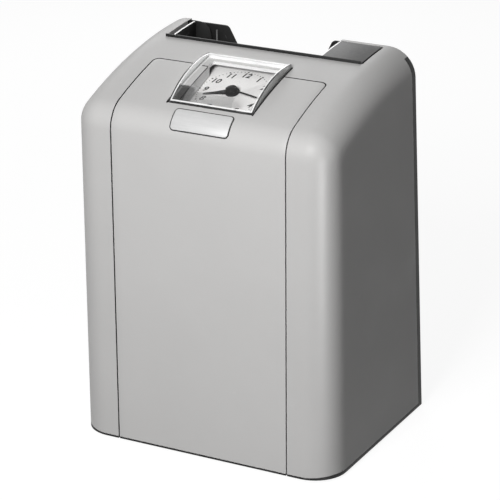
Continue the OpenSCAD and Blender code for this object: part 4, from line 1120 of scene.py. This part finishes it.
def makeCrystal():
    # A bulged clear sheet with a wall down each side and across the rear
    k = crystalSpec
    left, right, front, rear = k["middle"] - k["half"], k["middle"] + k["half"], k["front"], k["rear"]
    a, b = Vector((front, topAt(front))), Vector((rear, topAt(rear) + k["rise"]))
    chord = b - a
    down = Vector((chord.y, -chord.x)).normalized()
    centre = (a + b) / 2 + down * sqrt(k["bulge"] ** 2 - (chord.length / 2) ** 2)

    def arc(r, y):
        return centre.y + sqrt(r * r - (y - centre.x) ** 2)

    ys = spaced(front, rear, k["steps"])
    outline = [(y, arc(k["bulge"], y)) for y in ys] + [(y, topAt(y, k["sideLow"])) for y in reversed(ys)]
    body = prism("crystalCover", outline, left, right, alongX)
    ys = spaced(front + k["foreWall"], rear - k["thick"], k["steps"])
    hollow = [(y, arc(k["bulge"] - k["thick"], y)) for y in ys] + [(ys[-1], k["below"]), (ys[0], k["below"])]
    cutBy(body, prism("crystalHollow", hollow, left + k["thick"], right - k["thick"], alongX))
    bevelled(body, k["bevel"], 40)
    cuts = [("y", k["band"])]
    for far in (k["line"], k["shine"]):
        cuts += [("x", left + far), ("x", right - far), ("y", front + far)]
    scored(body, cuts)
    smooth(body)
    body.data.materials.clear()
    zones = list(crystals)
    for label in zones:
        body.data.materials.append(finish[label])
    for face in body.data.polygons:
        at, n = face.center / mm, face.normal
        edge = min(at.x - left, right - at.x, at.y - front)
        inside = (left + k["inset"] < at.x < right - k["inset"]
                  and front + k["foreInset"] < at.y < rear - k["inset"])
        # The bright rim and band are painted highlights; the dark edge line and the right side wall are
        # painted shade
        zone = "crystalFace"
        if inside and (n.z < -0.3 or abs(n.x) > 0.5 or n.y < -0.9):
            zone = "crystalInside"
        elif n.x > 0.5:
            zone = "crystalSideShade"
        elif n.z < 0.55:
            zone = "crystalRimHighlight"
        elif edge < k["line"]:
            zone = "crystalEdgeShade"
        elif edge < k["shine"]:
            zone = "crystalRimHighlight"
        elif at.y > k["band"]:
            zone = "crystalBandHighlight"
        face.material_index = zones.index(zone)
    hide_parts("crystal")
    fitted(body, None, "cover", 0)


def makeGaskets():
    # Thin black strips along the crystal's two sides and its front
    k = crystalSpec
    left, right, front = k["middle"] - k["half"], k["middle"] + k["half"], k["front"]
    wide, fore = k["gasket"], k["front"] - k["foreGasket"]
    ys = spaced(front - wide, k["rear"], k["gasketSteps"])
    long = [(y, topAt(y, -k["gasketHigh"])) for y in ys]
    long += [(y, topAt(y, k["gasketLow"])) for y in reversed(ys)]
    short = [(fore, topAt(front, k["foreLow"])), (front, topAt(front, k["foreLow"])),
             (front, topAt(front, -k["foreHigh"])), (fore, topAt(fore, -k["foreHigh"]))]
    for name, outline, low, high in (("gasketLeft", long, left - wide, left),
                                     ("gasketRight", long, right, right + wide),
                                     ("gasketFront", short, left - wide, right + wide)):
        strip = bevelled(prism(name, outline, low, high, alongX), k["gasketBevel"])
        fitted(strip, "blackEdgingAndShade", "cover")


makeCrystal()
makeGaskets()
print("crystal ready")

# Nameplate: a bare satin plate with a thin dark line round its edge

nameSpec = {"middle": 0.9, "half": 22.3, "high": 17.0, "corner": 3.0, "thick": 0.8, "turn": 43.5,
            "line": 0.75, "backThick": 0.65, "faceLow": 0.5, "faceThick": 0.3, "bevel": 0.12, "rows": 12}


def platePatch(name, inset, low, thick):
    # A rounded rectangle bent round the front top edge
    c, n = case, nameSpec
    half, high = n["half"] - inset, n["high"] - 2 * inset
    outline = roundRect(n["middle"] - half, n["middle"] + half, -high / 2, high / 2, n["corner"] - inset)
    piece = newPiece(name, bpy.data.meshes.new(name))
    with reworked(piece) as bm:
        bm.faces.new([bm.verts.new((x, t, 0)) for x, t in outline])
        for k in range(1, n["rows"]):
            sliced(bm, (0, -high / 2 + high * k / n["rows"], 0), (0, 1, 0), dist=0.0)
        for v in bmesh.ops.extrude_face_region(bm, geom=bm.faces[:])["geom"]:
            if isinstance(v, bmesh.types.BMVert):
                v.co.z = thick
        for v in bm.verts:
            a = radians(180 - n["turn"]) - asin(v.co.y / (c["edge"] + n["thick"]))
            r = c["edge"] + low + v.co.z
            v.co = Vector((v.co.x, c["edgeY"] + r * cos(a), c["edgeZ"] + r * sin(a) + c["foot"])) * mm
        bmesh.ops.recalc_face_normals(bm, faces=bm.faces)
    return piece


def makeNameplate():
    n = nameSpec
    back = platePatch("nameplateEdge", 0.0, 0.0, n["backThick"])
    face = platePatch("nameplateFace", n["line"], n["faceLow"], n["faceThick"])
    bevelled(face, n["bevel"], 50)
    fitted(back, "mouldedBlack", "cover")
    fitted(face, "satinAluminium", "cover")
    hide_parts("nameplate")


makeNameplate()
print("nameplate ready")

# Screws on the ends of the rods that hold the mechanism's frames

screwSpec = {"head": 2.8, "high": 1.4, "slot": 0.7, "slant": 0.6,
             "rods": [(-24.0, 18.0), (28.0, 22.0), (-34.0, 208.0), (22.0, 200.0)]}


def makeFrameScrews():
    s = screwSpec
    left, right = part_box("frame_left")[0].x / mm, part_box("frame_right")[1].x / mm
    for side, x, turn in (("Left", left - s["high"] / 2, -pi / 2), ("Right", right + s["high"] / 2, pi / 2)):
        points = [(x, y, z + case["foot"]) for y, z in s["rods"]]
        screws = grown("frameScrews" + side, slottedScrews, {
            "Head Radius": s["head"] * mm, "Head Height": s["high"] * mm, "Slot Width": s["slot"] * mm,
            "Turn": (s["slant"], turn, 0.0), "Finish": finish["turnedSteel"]}, points)
        fitted(screws, None, "base")


makeFrameScrews()
print("screws ready")

# Floor, lights and camera

studio = {
    "floor": grey(0.15), "floorSize": 14, "floorGlow": 0.91, "fill": 0.02, "aim": (0, 0, 0.14),
    # lamp: degrees round, degrees up, metres away, width, height, watts, and whether it lights matt surfaces
    "lamps": {
        "keyLamp": (7.0, 31.0, 1.3, 0.4, 0.4, 17.6, True),
        "rimLamp": (52.0, 2.0, 1.2, 0.16, 0.8, 2.6, False),
        "cornerLamp": (50.0, -8.0, 0.6, 0.1, 0.1, 3.6, False),
        "backLamp": (215.0, 32.0, 1.3, 0.6, 0.6, 4.0, True),
    },
}
# The camera: fitted to the edges of the case in the photo
view = {"target": (0, 0, 0.142), "far": 1.757, "turn": 28.1, "high": 20.8, "roll": -0.47, "lens": 181.0,
        "shiftX": -0.0005, "shiftY": -0.0318}


def seenRays(tree):
    # 1 where the eye looks, straight or by a reflection or through glass
    path = tree.nodes.new("ShaderNodeLightPath").outputs
    seen = mathNode(tree, "MAXIMUM", path["Is Camera Ray"], path["Is Glossy Ray"])
    return mathNode(tree, "MAXIMUM", seen, path["Is Transmission Ray"])


def makeFloor():
    bpy.ops.mesh.primitive_plane_add(size=studio["floorSize"])
    floor = bpy.context.object
    floor.name = "studioFloor"
    material, tree, shader = startMaterial("studioFloor")
    setInputs(tree, shader, {"Base Color": studio["floor"], "Roughness": 0.9, "Specular IOR Level": 0.0,
                             "Emission Color": (1, 1, 1, 1),
                             "Emission Strength": times(tree, seenRays(tree), studio["floorGlow"])})
    floor.data.materials.append(material)


def makeWorld():
    world = bpy.data.worlds.new("studioWorld")
    bpy.context.scene.world = world
    world.use_nodes = True
    tree = world.node_tree
    tree.nodes.clear()
    strength = rangeNode(tree, seenRays(tree), 0.0, 1.0, studio["fill"], 1.0)
    sky = addNode(tree, "ShaderNodeBackground", {"Color": (1, 1, 1, 1), "Strength": strength})
    addNode(tree, "ShaderNodeOutputWorld", {"Surface": sky["Background"]})


def direction(turn, high):
    a, e = radians(turn), radians(high)
    return Vector((sin(a) * cos(e), -cos(a) * cos(e), sin(e)))


def makeLamps():
    for name, (turn, high, far, wide, tall, power, matt) in studio["lamps"].items():
        lamp = bpy.data.lights.new(name, "AREA")
        lamp.energy = power
        lamp.shape = "RECTANGLE"
        lamp.size, lamp.size_y = wide, tall
        holder = newPiece(name, lamp)
        way = direction(turn, high)
        holder.visible_diffuse = matt
        holder.visible_camera = False
        holder.location = Vector(studio["aim"]) + way * far
        holder.rotation_euler = way.to_track_quat("Z", "Y").to_euler()


def makeCamera():
    data = bpy.data.cameras.new("photoCamera")
    data.lens = view["lens"]
    data.shift_x, data.shift_y = view["shiftX"], view["shiftY"]
    data.clip_start, data.clip_end = 0.05, 50
    camera = newPiece("photoCamera", data)
    back = direction(view["turn"], view["high"])
    camera.location = Vector(view["target"]) + back * view["far"]
    camera.rotation_mode = "QUATERNION"
    roll = Matrix.Rotation(radians(view["roll"]), 4, "Z").to_quaternion()
    camera.rotation_quaternion = (-back).to_track_quat("-Z", "Y") @ roll
    bpy.context.scene.camera = camera


makeFloor()
makeWorld()
makeLamps()
makeCamera()
bpy.context.scene.view_settings.view_transform = "Standard"
print("studio ready")
